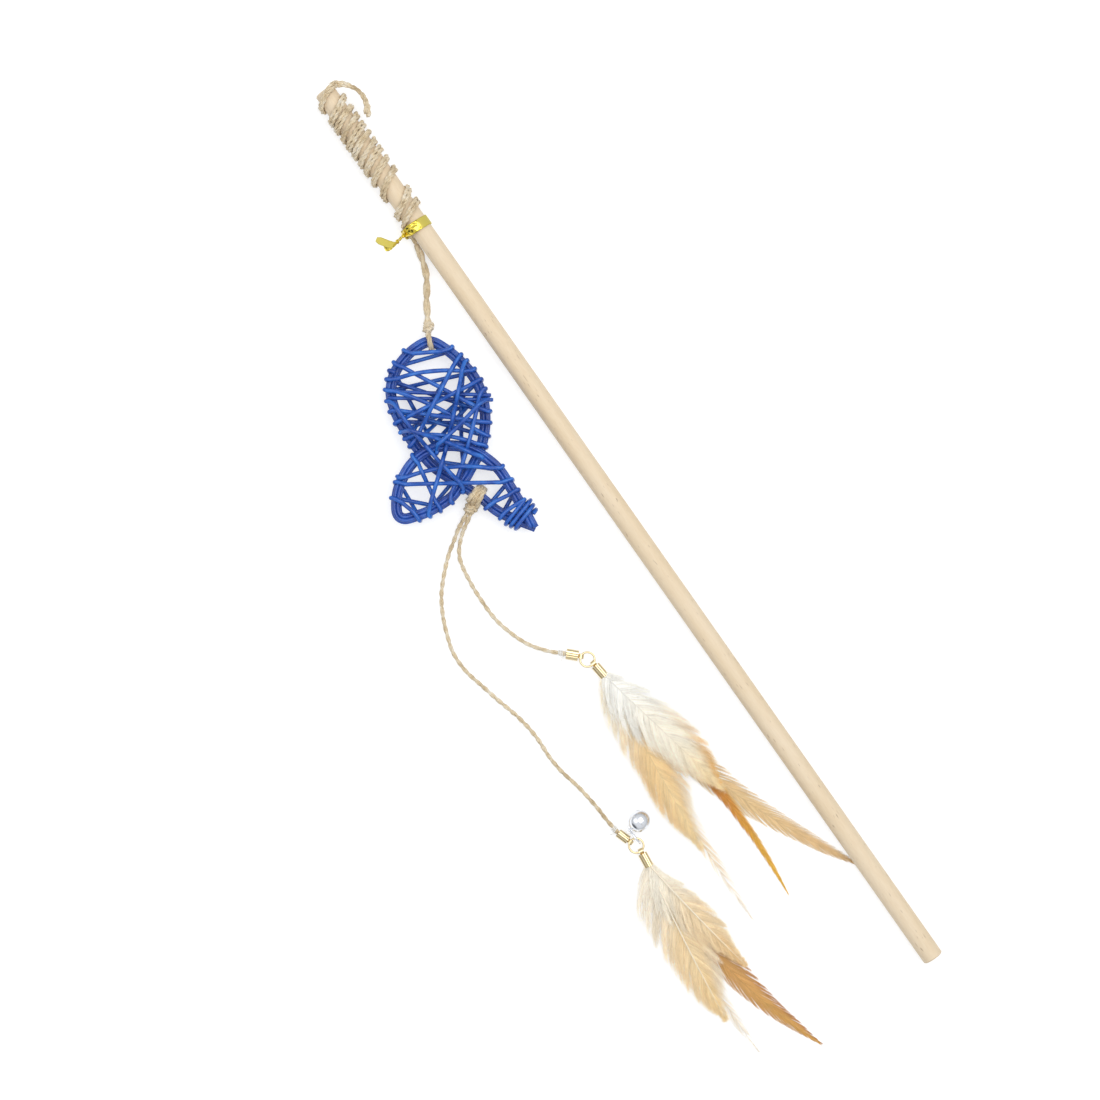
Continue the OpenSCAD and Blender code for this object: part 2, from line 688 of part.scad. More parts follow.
// A feather: a quill that widens into a vane of lens section. The cap's eye and direction place it,
// turn and bow lead it over the floor, and slot and top give its heights in the cap and beyond.
function ease(v) = let (u = min(max(v, 0), 1)) u * u * (3 - 2 * u);
function vane_share(u) = u < 0.12 ? ease(u / 0.12) * 0.75 : (0.75 + 0.25 * ease((u - 0.12) / 0.2)) *
    sqrt(max(0.02, 1 - pow(max(0, (u - 0.45) / 0.55), 2.4)));
function feather_points(l, half_w, half_t, bow, low, top) =
    [for (k = [0 : feather_rings])
        let (u = k < 3 ? k / 40 : (k - 1) / (feather_rings - 1),
            x = u * l, s = ease((x - quill_in) / (part_run - quill_in)), y = bow * x * (1 - u),
            slope = atan(bow * (1 - 2 * u)),
            w = max(quill_r, half_w * (u < 0.03 ? 0 : vane_share(u - 0.03))),
            t = quill_r + (half_t - quill_r) * s,
            z = low + (top - low) * s)
        each [for (c = lens_shares)
            [x - c.x * w * sin(slope), y + c.x * w * cos(slope), z + c.y * t]]];

module feather(eye, cap_turn, side_share, l, half_w, half_t, turn, bow, slot, top) {
    n = feather_rings;
    low = fitting_z + (slot - 2) * quill_step;
    points = feather_points(l, half_w, half_t, bow, low, top);
    walls = [for (i = [0 : n - 1], k = [0 : 7])
        let (a = i * 8 + k, b = i * 8 + (k + 1) % 8)
        each [[a, b, a + 8], [b, b + 8, a + 8]]];
    ends = [for (k = [1 : 6]) each [[0, k + 1, k], [n * 8, n * 8 + k, n * 8 + k + 1]]];
    on_drops()
        translate([eye.x, eye.y, 0] + (neck_l + cap_l - quill_in) * way(cap_turn) 
            + side_share * cap_w * way(cap_turn + 90))
            rotate([0, 0, turn])
                polyhedron(points = points, faces = concat(walls, ends));
}

module short_feather(colour, side_share, l_share, w_share, half_t, turn, bow, slot, top) {
    color(colour)
        feather(short_cap_eye, short_cap_turn, side_share, l_share * feather_l, w_share * feather_w, half_t,
            turn, bow, slot, top);
}

module long_feather(colour, side_share, l_share, w_share, half_t, turn, bow, slot, top) {
    color(colour)
        feather(long_cap_eye, long_cap_turn, side_share, l_share * feather_l, w_share * feather_w, half_t,
            turn, bow, slot, top);
}

// Heights of the layers that the feathers lie in: hackles lowest, down above them
function hackle_top(k) = hackle_z + k * hackle_step;
function down_top(hackles, k) = hackle_top(hackles - 1) + hackle_t / 2 + soft_gap + down_t / 2
    + k * (down_t + soft_gap);

// The bell: two half shells that meet at a seam, one with the shank, one with the slit
module half_shell() {
    difference() {
        intersection() {
            sphere(r = bell_r, $fn = 64);
            translate([0, -bell_r - cut_over, -bell_r - cut_over])
                cube(2 * (bell_r + cut_over));
        }
        sphere(r = bell_in_r, $fn = 64);
    }
}

module on_bell() {
    on_drops()
        translate(bell_place)
            rotate([0, 0, bell_turn])
                children();
}

module bell_shank_shell() {
    color("silver")
        on_bell()
            difference() {
                union() {
                    half_shell();
                    translate([bell_r + shank_r - shank_sink, 0, 0])
                        wire_ring(shank_r, 2 * shank_wire_r);
                }
                sphere(r = bell_in_r, $fn = 64);
            }
}

module bell_slit_shell() {
    color("silver")
        on_bell()
            rotate([0, 0, 180])
                difference() {
                    half_shell();
                    translate([bell_in_r / 2, -slit_reach, -slit_w / 2])
                        cube([bell_r, 2 * slit_reach, slit_w]);
                    for (side = [-1, 1])
                        translate([0, side * slit_reach, 0])
                            rotate([0, 90, 0])
                                cylinder(r = slit_hole_r, h = bell_r + cut_over, $fn = 24);
                }
}

module bell_ring() {
    color("silver")
        on_drops()
            translate(bell_ring_place)
                rotate([90, 0, bell_ring_turn])
                    wire_ring(bell_ring_r, wire_d);
}

module bell_pellet() {
    color("gray")
        on_drops()
            translate(bell_place - [0, 0, bell_in_r - pellet_r - pellet_gap])
                sphere(r = pellet_r, $fn = 32);
}

stick();
handle_winding();
twist_tie();
hanger_twine();
hanger_loop();
fish_cane(cane_places[0]);  // fish_cane_1
fish_cane(cane_places[1]);  // fish_cane_2
fish_cane(cane_places[2]);  // fish_cane_3
fish_cane(cane_places[3]);  // fish_cane_4
fish_cane(cane_places[4]);  // fish_cane_5
fish_cross_cane(cross_shares[0]);  // fish_cross_cane_1
fish_cross_cane(cross_shares[1]);  // fish_cross_cane_2
fish_winding();
fish_tip_binding();
tail_knot();
drop_twine(short_route);  // short_drop_twine
crimp(short_eye, short_crimp_turn, short_crimp_w);  // short_crimp
jump_ring(short_ring);  // short_jump_ring
cap(short_cap_eye, short_cap_turn);  // short_feather_cap
short_feather("peru", 0, 1.224, 0.45, hackle_t / 2, 53.3, -0.218, 0, hackle_top(0));  // short_tan_hackle
short_feather("goldenrod", -0.06, 1.057, 0.2, hackle_t / 2, 41, 0.204, 1, hackle_top(1));  // short_golden_hackle
short_feather("wheat", 0.06, 1.08, 0.45, hackle_t / 2, 30.4, 0, 2, hackle_top(2));  // short_pale_hackle
short_feather("tan", 0.1, 0.607, 0.7, down_t / 2, 25.4, 0, 3, down_top(3, 0));  // short_tan_down
short_feather("ivory", 0, 0.56, 0.8, down_t / 2, 50.2, 0, 4, down_top(3, 1));  // short_white_down
drop_twine(long_route);  // long_drop_twine
crimp(long_eye, long_crimp_turn, long_crimp_w);  // long_crimp
jump_ring(long_ring);  // long_jump_ring
cap(long_cap_eye, long_cap_turn);  // long_feather_cap
long_feather("peru", -0.06, 0.929, 0.4, hackle_t / 2, 43, -0.112, 0, hackle_top(0));  // long_brown_hackle
long_feather("wheat", 0.03, 0.779, 0.4, hackle_t / 2, 29, -0.133, 1, hackle_top(1));  // long_quill_hackle
long_feather("tan", 0.08, 0.54, 0.8, down_t / 2, 20.4, 0, 2, down_top(2, 0));  // long_tan_down
long_feather("ivory", -0.06, 0.517, 0.8, down_t / 2, 43.5, 0, 3, down_top(2, 1));  // long_cream_down
bell_ring();
bell_shank_shell();
bell_slit_shell();
bell_pellet();
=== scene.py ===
"""Looks of a cat teaser wand: a birch stick with a jute-wound tip, a blue wicker fish, and two feather drops."""

import json
import logging
import math
from dataclasses import dataclass, field
from enum import Enum
from typing import Any, Optional, Sequence

import bpy
import numpy as np
from mathutils import Matrix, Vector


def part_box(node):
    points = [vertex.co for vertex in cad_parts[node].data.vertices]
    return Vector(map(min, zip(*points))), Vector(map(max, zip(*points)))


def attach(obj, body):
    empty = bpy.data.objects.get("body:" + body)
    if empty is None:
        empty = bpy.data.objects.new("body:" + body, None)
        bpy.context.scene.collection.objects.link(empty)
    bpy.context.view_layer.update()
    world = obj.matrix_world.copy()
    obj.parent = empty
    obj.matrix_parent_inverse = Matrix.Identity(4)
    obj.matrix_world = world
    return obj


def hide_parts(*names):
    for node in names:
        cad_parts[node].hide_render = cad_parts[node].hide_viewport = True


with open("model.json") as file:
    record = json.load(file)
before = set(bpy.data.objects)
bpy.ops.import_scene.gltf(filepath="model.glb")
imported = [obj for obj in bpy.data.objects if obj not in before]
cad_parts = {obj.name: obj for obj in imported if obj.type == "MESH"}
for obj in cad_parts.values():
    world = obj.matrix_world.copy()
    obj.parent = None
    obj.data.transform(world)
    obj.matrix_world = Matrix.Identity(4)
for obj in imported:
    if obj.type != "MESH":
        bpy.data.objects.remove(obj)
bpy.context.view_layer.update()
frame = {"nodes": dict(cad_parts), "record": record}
LOG = logging.getLogger("teaser_wand")

MM = 0.001
UP = np.array([0.0, 0.0, 1.0])
# Direction from the stick down the hanger, as in the part's source
HANG_TURN = 144.9

Array = np.ndarray
Draws = np.random.Generator
Material = bpy.types.Material
Piece = bpy.types.Object
Socket = bpy.types.NodeSocket
Shares = tuple[tuple[float, float], ...]
Route = tuple[tuple[float, float, float], ...]
Stops = tuple[tuple[float, str], ...]


# Shapes worked out as whole arrays


def unit(vectors: Array) -> Array:
    """Scales vectors along the last axis to length one."""
    return vectors / np.maximum(np.linalg.norm(vectors, axis=-1, keepdims=True), 1e-12)


def way(degrees: float) -> Array:
    """Gives the flat unit vector at an angle on the floor."""
    return np.array([math.cos(math.radians(degrees)), math.sin(math.radians(degrees)), 0.0])


def around(angle: Array, u: Array, v: Array) -> Array:
    """Gives the directions at angles in a plane: cos a u + sin a v."""
    return np.cos(angle)[..., None] * u + np.sin(angle)[..., None] * v


def ease(value: Array) -> Array:
    """Smooth step from 0 to 1: 3v squared less 2v cubed."""
    v = np.clip(value, 0.0, 1.0)
    return v * v * (3.0 - 2.0 * v)


def run_along(path: Array) -> Array:
    """Gives the length from a path's start to each of its points."""
    return np.concatenate([[0], np.cumsum(np.linalg.norm(np.diff(path, axis=0), axis=1))])


def windows(values: Array, reach: int) -> Array:
    """Gives each value with its neighbours within reach on both sides, the end values repeated."""
    return np.lib.stride_tricks.sliding_window_view(np.pad(values, reach, mode="edge"), 2 * reach + 1)


def curve_at(points: Array, places: Array) -> Array:
    """Catmull-Rom curve: a cubic through each pair of points that follows their neighbours.

    Args:
        points: The points that the curve passes, one a row.
        places: Where to read it, counted in points.

    Returns:
        One point for each place.
    """
    last = len(points) - 1
    i = np.minimum(np.floor(places).astype(int), last - 1)
    u = (places - i)[:, None]
    a, b = points[np.maximum(i - 1, 0)], points[i]
    c, d = points[i + 1], points[np.minimum(i + 2, last)]
    return 0.5 * (2 * b + (c - a) * u + (2 * a - 5 * b + 4 * c - d) * u**2 + (3 * b - a - 3 * c + d) * u**3)


def even_curve(points: Array, step: float = 0.35 * MM) -> Array:
    """Reads the Catmull-Rom curve through points at even steps of length.

    Args:
        points: The points that the curve passes.
        step: Wanted distance between two of the new points.

    Returns:
        The new points, both ends included.
    """
    fine = curve_at(points, np.linspace(0, len(points) - 1, 24 * len(points)))
    run = run_along(fine)
    wanted = np.linspace(0, run[-1], max(3, int(round(run[-1] / step)) + 1))
    return np.stack([np.interp(wanted, run, fine[:, k]) for k in range(3)], axis=1)


def carried_frame(path: Array) -> tuple[Array, Array, Array]:
    """Carries two sides along a path without twist: each station drops the part of the last side that lies along it.

    Args:
        path: The stations, one a row.

    Returns:
        Directions, first sides and second sides.
    """
    along = unit(np.gradient(path, axis=0))
    side = UP if abs(along[0, 2]) < 0.9 else np.array([1.0, 0.0, 0.0])
    sides = np.empty_like(along)
    for station, direction in enumerate(along):
        side = unit(side - (side @ direction) * direction)
        sides[station] = side
    return along, sides, np.cross(along, sides)


@dataclass
class Net:
    """Points, faces, colours and straightened places of one piece, gathered before they become a mesh."""

    points: list[Array] = field(default_factory=list)
    quads: list[Array] = field(default_factory=list)
    fans: list[list[int]] = field(default_factory=list)
    tints: list[Array] = field(default_factory=list)
    straights: list[Array] = field(default_factory=list)
    count: int = 0

    def grids(self, points: Array, closed: bool = False, tints: Any = 1.0, straights: Any = 0.0) -> None:
        """Adds grids of one size, their faces turned to the side that columns times rows point to.

        Args:
            points: Grids by rows by columns by three.
            closed: Whether it is a single tube, whose last column joins the first and whose ends are capped.
            tints: Linear colours of the points, white unless given.
            straights: Place of each point along and round its strand, as if that were straight.
        """
        many, rows, cols = points.shape[:3]
        n, i, k = np.ogrid[:many, :rows - 1, :cols if closed else cols - 1]
        base, j = (n * rows + i) * cols, (k + 1) % cols
        quads = np.stack(np.broadcast_arrays(base + k, base + j, base + cols + j, base + cols + k), axis=-1)
        self.quads.append(quads.reshape(-1, 4) + self.count)
        if closed:
            first, last = self.count, self.count + (rows - 1) * cols
            self.fans += [list(range(first, first + cols))[::-1], list(range(last, last + cols))]
        for kept, values in ((self.points, points), (self.tints, tints), (self.straights, straights)):
            kept.append(np.broadcast_to(values, points.shape).reshape(-1, 3))
        self.count += many * rows * cols

    def tube(self, path: Array, radius: Any, sides: int, tints: Any = 1.0, phase: Any = 0.0) -> None:
        """Adds a closed tube of rings: point = station + radius (cos a, sin a) on the carried sides.

        Args:
            path: The stations.
            radius: One radius, or one for each station.
            sides: Points in a ring.
            tints: Colours as stations by sides by three.
            phase: Turn of each ring, in radians.
        """
        _, u, v = carried_frame(path)
        a = np.linspace(0, 2 * np.pi, sides, endpoint=False)
        r = np.broadcast_to(radius, (len(path),))[:, None]
        rings = path[:, None] + r[..., None] * around(a + np.reshape(phase, (-1, 1)), u[:, None], v[:, None])
        straight = np.stack(np.broadcast_arrays(run_along(path)[:, None], r * np.cos(a), r * np.sin(a)), axis=-1)
        self.grids(rings[None], True, tints, straight)

    def piece(self, name: str, material: Material, node: str, replaces: bool = True) -> Piece:
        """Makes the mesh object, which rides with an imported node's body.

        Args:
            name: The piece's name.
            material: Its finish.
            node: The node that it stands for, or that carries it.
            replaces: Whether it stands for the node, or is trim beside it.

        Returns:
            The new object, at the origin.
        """
        points = np.concatenate(self.points)
        mesh = bpy.data.meshes.new(name)
        mesh.from_pydata(points.tolist(), [], np.concatenate(self.quads).tolist() + self.fans)
        tints = np.concatenate([np.concatenate(self.tints), np.ones((len(points), 1))], axis=1)
        straights = np.concatenate(self.straights)
        mesh.color_attributes.new("tint", "FLOAT_COLOR", "POINT").data.foreach_set(
            "color", tints.astype(np.float32).ravel())
        mesh.attributes.new("straight", "FLOAT_VECTOR", "POINT").data.foreach_set(
            "vector", straights.astype(np.float32).ravel())
        mesh.polygons.foreach_set("use_smooth", np.ones(len(mesh.polygons), dtype=bool))
        mesh.materials.append(material)
        mesh.update()
        thing = bpy.data.objects.new(name, mesh)
        bpy.context.scene.collection.objects.link(thing)
        record = frame["record"]
        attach(thing, next(body for body, nodes in record["behaviour"]["bodies"].items() if node in nodes))
        if replaces:
            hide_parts(node)
        LOG.info("%s %s %s", name, "stands for" if replaces else "rides with", node)
        return thing


# Finishes


def linear(hex_colour: str) -> tuple[float, ...]:
    """Turns an sRGB hex value into linear red, green, blue and full opacity."""
    parts = [int(hex_colour[k:k + 2], 16) / 255 for k in (0, 2, 4)]
    return (*(c / 12.92 if c <= 0.04045 else ((c + 0.055) / 1.055) ** 2.4 for c in parts), 1.0)


def add_node(tree: bpy.types.ID, kind: str, sockets: Optional[dict[Any, Any]] = None, out: Any = 0,
             stops: Stops = (), **settings: Any) -> Optional[Socket]:
    """Adds a shader node with its settings, and gives each named socket a value or a link.

    Args:
        tree: The material, or the world, to add to.
        kind: Blender's name for the node, after ShaderNode.
        sockets: Values, sRGB hex values or output sockets, by input name or number.
        out: Name or number of the output that is wanted.
        stops: Places and sRGB hex values of a colour ramp.
        settings: Attributes of the node.

    Returns:
        The wanted output, if the node has outputs.
    """
    node = tree.node_tree.nodes.new("ShaderNode" + kind)
    for key, value in settings.items():
        setattr(node, key, value)
    for key, value in (sockets or {}).items():
        if isinstance(value, Socket):
            tree.node_tree.links.new(value, node.inputs[key])
        else:
            node.inputs[key].default_value = linear(value) if isinstance(value, str) else value
    while stops and len(node.color_ramp.elements) < len(stops):
        node.color_ramp.elements.new(0.5)
    for number, (place, colour) in enumerate(stops):
        made = node.color_ramp.elements[number]
        made.position, made.color = place, linear(colour)
    return node.outputs[out] if node.outputs else None


# What makes a Mix node mix colours, and the output that it then has
COLOURS = {"out": 2, "data_type": "RGBA"}


def grain(tree: bpy.types.ID, place: Socket, along_mm: float, across_mm: float, detail: float,
          roughness: float = 0.5) -> Socket:
    """Adds noise whose grains have a real size: the place is divided by that size before the noise reads it.

    Args:
        tree: The material to add to.
        place: Where the noise is read, in metres.
        along_mm: Length of a grain along x.
        across_mm: Its width.
        detail: How many finer noises it holds.
        roughness: How strong those are.

    Returns:
        The noise, from 0 to 1.
    """
    across = 1 / (across_mm * MM)
    mapped = add_node(tree, "Mapping", {"Vector": place, "Scale": (1 / (along_mm * MM), across, across)})
    return add_node(tree, "TexNoise", {"Vector": mapped, "Scale": 1.0, "Detail": detail, "Roughness": roughness})


def emptied(holder: bpy.types.ID) -> bpy.types.ID:
    """Gives a new material or world an empty node tree."""
    holder.use_nodes = True
    holder.node_tree.nodes.clear()
    return holder


def seen(tree: bpy.types.ID) -> Socket:
    """Gives 1 for rays from the camera, or from metal or glass, and 0 for light that falls on the part."""
    share = add_node(tree, "LightPath", out="Is Camera Ray")
    for kind in ("Is Glossy Ray", "Is Transmission Ray"):
        share = add_node(tree, "Math", {0: share, 1: add_node(tree, "LightPath", out=kind)}, operation="MAXIMUM")
    return share


@dataclass(frozen=True)
class Finish:
    """A finish: the name of its material, and fields with its real sizes and colours."""

    name: str

    def sockets(self, m: Material) -> dict[str, Any]:
        """Adds the pattern's nodes and gives the shader's sockets; each finish has its own."""
        raise NotImplementedError

    def build(self) -> Material:
        """Returns the material: the pattern's nodes, the shader that reads them, and its output."""
        m = emptied(bpy.data.materials.new(self.name))
        add_node(m, "OutputMaterial", {"Surface": add_node(m, "BsdfPrincipled", self.sockets(m))})
        return m


@dataclass(frozen=True)
class BirchWood(Finish):
    """Sanded birch dowel: pale, satin, with fine grain along it and short dark flecks."""

    name: str = "sanded_birch"
    fibres: Stops = ((0.3, "E0C7A3"), (0.62, "EAD6B7"))
    clouds: Stops = ((0.35, "E4CEAB"), (0.65, "ECDBC0"))
    dark: str = "8E6A45"
    grain_mm: tuple[float, float] = (4.2308, 0.55)
    cloud_mm: tuple[float, float] = (45.4545, 7.6923)
    fleck_mm: tuple[float, float] = (4.0, 0.55172)
    fleck_peaks: tuple[float, float] = (0.7, 0.78)
    fleck_share: float = 0.65
    polish: float = 0.55

    def sockets(self, m: Material) -> dict[str, Any]:
        """Mixes grain and clouds by halves, and adds flecks where a third noise peaks, all along the object's x."""
        place = add_node(m, "TexCoord", out="Object")
        fine = grain(m, place, *self.grain_mm, 5.0, 0.6)
        body = add_node(m, "ValToRGB", {"Fac": fine}, stops=self.fibres)
        soft = add_node(m, "ValToRGB", {"Fac": grain(m, place, *self.cloud_mm, 3.0)}, stops=self.clouds)
        mixed = add_node(m, "Mix", {0: 0.5, 6: body, 7: soft}, **COLOURS)
        fleck = grain(m, place, *self.fleck_mm, 1.0)
        low, high = self.fleck_peaks
        mask = add_node(m, "MapRange", {"Value": fleck, 1: low, 2: high, 4: self.fleck_share})
        colour = add_node(m, "Mix", {0: mask, 6: mixed, 7: self.dark}, **COLOURS)
        bump = add_node(m, "Bump", {"Height": fine, "Strength": 0.25, "Distance": 0.1 * MM})
        return {"Base Color": colour, "Roughness": self.polish, "Normal": bump}


@dataclass(frozen=True)
class Strand(Finish):
    """A strand's colours: streaks along its straightened length, mixed by halves with patches."""

    stops: Stops
    streak_mm: tuple[float, float]
    patch_mm: float
    details: tuple[float, float, float]

    def streaks(self, m: Material) -> tuple[Socket, Socket]:
        """Adds the pattern.

        Args:
            m: The material to add to.

        Returns:
            The streaks alone, and the colour.
        """
        strand = add_node(m, "Attribute", out="Vector", attribute_name="straight")
        fine = grain(m, strand, *self.streak_mm, *self.details[:2])
        patch = grain(m, add_node(m, "TexCoord", out="Object"), self.patch_mm, self.patch_mm, self.details[2])
        half = add_node(m, "Mix", {0: 0.5, 2: fine, 3: patch})
        return fine, add_node(m, "ValToRGB", {"Fac": half}, stops=self.stops)


@dataclass(frozen=True)
class Jute(Strand):
    """Spun jute twine: matte and hairy, tan with paler and darker fibres along each ply."""

    name: str = "spun_jute"
    stops: Stops = ((0.36, "BEA680"), (0.5, "E6D3B0"), (0.64, "F4EBD9"))
    streak_mm: tuple[float, float] = (2.5, 0.3)
    patch_mm: float = 4.16667
    details: tuple[float, float, float] = (4.0, 0.65, 3.0)

    def sockets(self, m: Material) -> dict[str, Any]:
        """Multiplies the strand's colours by the mesh's tint."""
        fine, body = self.streaks(m)
        tint = add_node(m, "Attribute", attribute_name="tint")
        colour = add_node(m, "Mix", {0: 1.0, 6: body, 7: tint}, blend_type="MULTIPLY", **COLOURS)
        bump = add_node(m, "Bump", {"Height": fine, "Strength": 0.8, "Distance": 0.3 * MM})
        return {"Base Color": colour, "Roughness": 0.85, "Sheen Weight": 0.15, "Normal": bump}


@dataclass(frozen=True)
class DyedCane(Strand):
    """Willow cane dyed blue and lacquered: glossy, streaked along each cane where the dye took less."""

    stops: Stops = ((0.34, "173C90"), (0.5, "2059B6"), (0.68, "3A84DC"))
    streak_mm: tuple[float, float] = (4.28571, 0.3)
    patch_mm: float = 6.25
    details: tuple[float, float, float] = (3.0, 0.6, 2.0)

    def sockets(self, m: Material) -> dict[str, Any]:
        """Takes the strand's colours as they are."""
        streak, colour = self.streaks(m)
        bump = add_node(m, "Bump", {"Height": streak, "Strength": 0.35, "Distance": 0.1 * MM})
        return {"Base Color": colour, "Roughness": 0.34, "Normal": bump}


@dataclass(frozen=True)
class PlatedMetal(Finish):
    """Plated sheet and wire: polished, with a fine uneven surface that breaks its reflections."""

    colour: str
    roughness: float
    wave_mm: float = 1.2
    wave_depth: float = 0.08

    def sockets(self, m: Material) -> dict[str, Any]:
        """Lets one noise move both the surface and its roughness."""
        wave = grain(m, add_node(m, "TexCoord", out="Object"), self.wave_mm, self.wave_mm, 2.0)
        bump = add_node(m, "Bump", {"Height": wave, "Strength": self.wave_depth, "Distance": 0.2 * MM})
        rough = add_node(m, "MapRange", {"Value": wave, 3: self.roughness * 0.8, 4: self.roughness * 1.3})
        return {"Base Color": self.colour, "Metallic": 1.0, "Roughness": rough, "Normal": bump}


@dataclass(frozen=True)
class Foil(Finish):
    """Metallised plastic ribbon: yellow gold, glossy, crumpled where it is twisted."""

    name: str = "metallised_foil"
    smooth_colour: str = "CBBB52"
    creased_colour: str = "E0C852"
    crease_mm: float = 1.3

    def sockets(self, m: Material) -> dict[str, Any]:
        """Turns the mesh's tint, 1 where it lies smooth, into creases and a brighter metal where it doesn't."""
        place = add_node(m, "TexCoord", out="Object")
        crease = add_node(m, "TexVoronoi", {"Vector": place, "Scale": 1 / (self.crease_mm * MM)})
        smoothness = add_node(m, "Attribute", out="Fac", attribute_name="tint")
        creased = add_node(m, "Math", {0: 1.0, 1: smoothness}, operation="SUBTRACT")
        bump = add_node(m, "Bump", {"Height": crease, "Strength": creased, "Distance": 0.2 * MM})
        colour = add_node(m, "Mix", {0: creased, 6: self.smooth_colour, 7: self.creased_colour}, **COLOURS)
        rough = add_node(m, "MapRange", {"Value": creased, 3: 0.6, 4: 0.12})
        metal = add_node(m, "MapRange", {"Value": creased, 3: 0.1, 4: 1.0})
        return {"Base Color": colour, "Metallic": metal, "Roughness": rough, "Normal": bump}


@dataclass(frozen=True)
class Plumage(Finish):
    """Undyed cock feathers: matte, soft, each barb a little lighter or darker than the next."""

    roughness: float = 0.75
    sheen: float = 0.3
    mottle_mm: float = 3.33333

    def sockets(self, m: Material) -> dict[str, Any]:
        """Mottles the mesh's tint."""
        mottle = grain(m, add_node(m, "TexCoord", out="Object"), self.mottle_mm, self.mottle_mm, 3.0)
        shade = add_node(m, "MapRange", {"Value": mottle, 3: 0.9, 4: 1.08})
        tint = add_node(m, "Attribute", attribute_name="tint")
        colour = add_node(m, "Mix", {0: 1.0, 6: tint, 7: shade}, blend_type="MULTIPLY", **COLOURS)
        return {"Base Color": colour, "Roughness": self.roughness, "Sheen Weight": self.sheen}


@dataclass(frozen=True)
class ClearThread(Finish):
    """Drawn nylon thread: so fine and glossy that it shows as white glints over the twine; the thread is clear, and its
    near-white colour is a painted glint.
    """

    name: str = "drawn_nylon_thread"
    # Painted glint: a near-white colour given to a clear thread
    colour: str = "F8F6F1"
    wave_mm: float = 1.11111

    def sockets(self, m: Material) -> dict[str, Any]:
        """Varies the gloss along the thread."""
        wave = grain(m, add_node(m, "TexCoord", out="Object"), self.wave_mm, self.wave_mm, 1.0)
        rough = add_node(m, "MapRange", {"Value": wave, 3: 0.15, 4: 0.35})
        return {"Base Color": self.colour, "IOR": 1.53, "Roughness": rough, "Coat Weight": 0.4}


@dataclass(frozen=True)
class StudioPaper(Finish):
    """The floor's paper: matte, and lifted to white for the camera so that only shadows show on it."""

    name: str = "studio_paper"
    lit: float = 0.84
    shown: float = 0.56
    lift: float = 0.6

    def sockets(self, m: Material) -> dict[str, Any]:
        """Mixes the grey that lights the part with the grey and the glow that the camera sees."""
        share = seen(m)
        glow = add_node(m, "Math", {0: share, 1: self.lift}, operation="MULTIPLY")
        lit, shown = ((grey, grey, grey, 1.0) for grey in (self.lit, self.shown))
        colour = add_node(m, "Mix", {0: share, 6: lit, 7: shown}, **COLOURS)
        return {"Base Color": colour, "Roughness": 1.0, "Specular IOR Level": 0.0,
                "Emission Color": (1.0, 1.0, 1.0, 1.0), "Emission Strength": glow}


def dress(material: Material, *nodes: str) -> None:
    """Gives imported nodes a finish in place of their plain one.

    Args:
        material: The finish.
        nodes: The nodes, which keep their solids.
    """
    for node in nodes:
        mesh = frame["nodes"][node].data
        mesh.materials.clear()
        mesh.materials.append(material)
        LOG.info("%s keeps its solid", node)


# Places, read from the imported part's joints


def joint_place(name: str) -> Array:
    """Gives a joint's place in the part's frame."""
    return next(np.array(j["pos_m"]) for j in frame["record"]["behaviour"]["joints"] if j["name"] == name)


@dataclass(frozen=True)
class FloorFrame:
    """A frame on the floor: an origin and the direction of its x, in degrees."""

    origin: Sequence[float]
    degrees: float = HANG_TURN

    def out(self, points: Any) -> Array:
        """Takes points from this frame to the part's."""
        return np.array(self.origin) + np.asarray(points) @ np.array([way(self.degrees), way(self.degrees + 90), UP])


# The hanger's frame, below the place where it leaves the stick, and the drops' frame, below the tail knot's end
HANG = FloorFrame(joint_place("fish_swing") * (1, 1, 0))
DROPS = FloorFrame((joint_place("short_drop_lift") + joint_place("long_drop_lift")) / 2 * (1, 1, 0))


@dataclass
class StickFrame:
    """The stick's own frame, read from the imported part's butt mount: its x runs back from the tip."""

    length: float = 400.0 * MM
    radius: float = 4.0 * MM

    def __post_init__(self) -> None:
        """Works out the tip's place and the three directions."""
        butt = next(m for m in frame["record"]["mounts"] if m["name"] == "butt")
        along, side = -unit(np.array(butt["axis"])), np.array([0.0, 1.0, 0.0])
        self.tip = np.array(butt["pos_m"]) + along * self.length
        self.axes = np.array([-along, side, np.cross(along, side)])

    def turned(self, vectors: Any) -> Array:
        """Takes vectors from this frame to the part's."""
        return np.asarray(vectors) @ self.axes

    def out(self, points: Any) -> Array:
        """Takes points from this frame to the part's."""
        return self.tip + self.turned(points)


# Twine


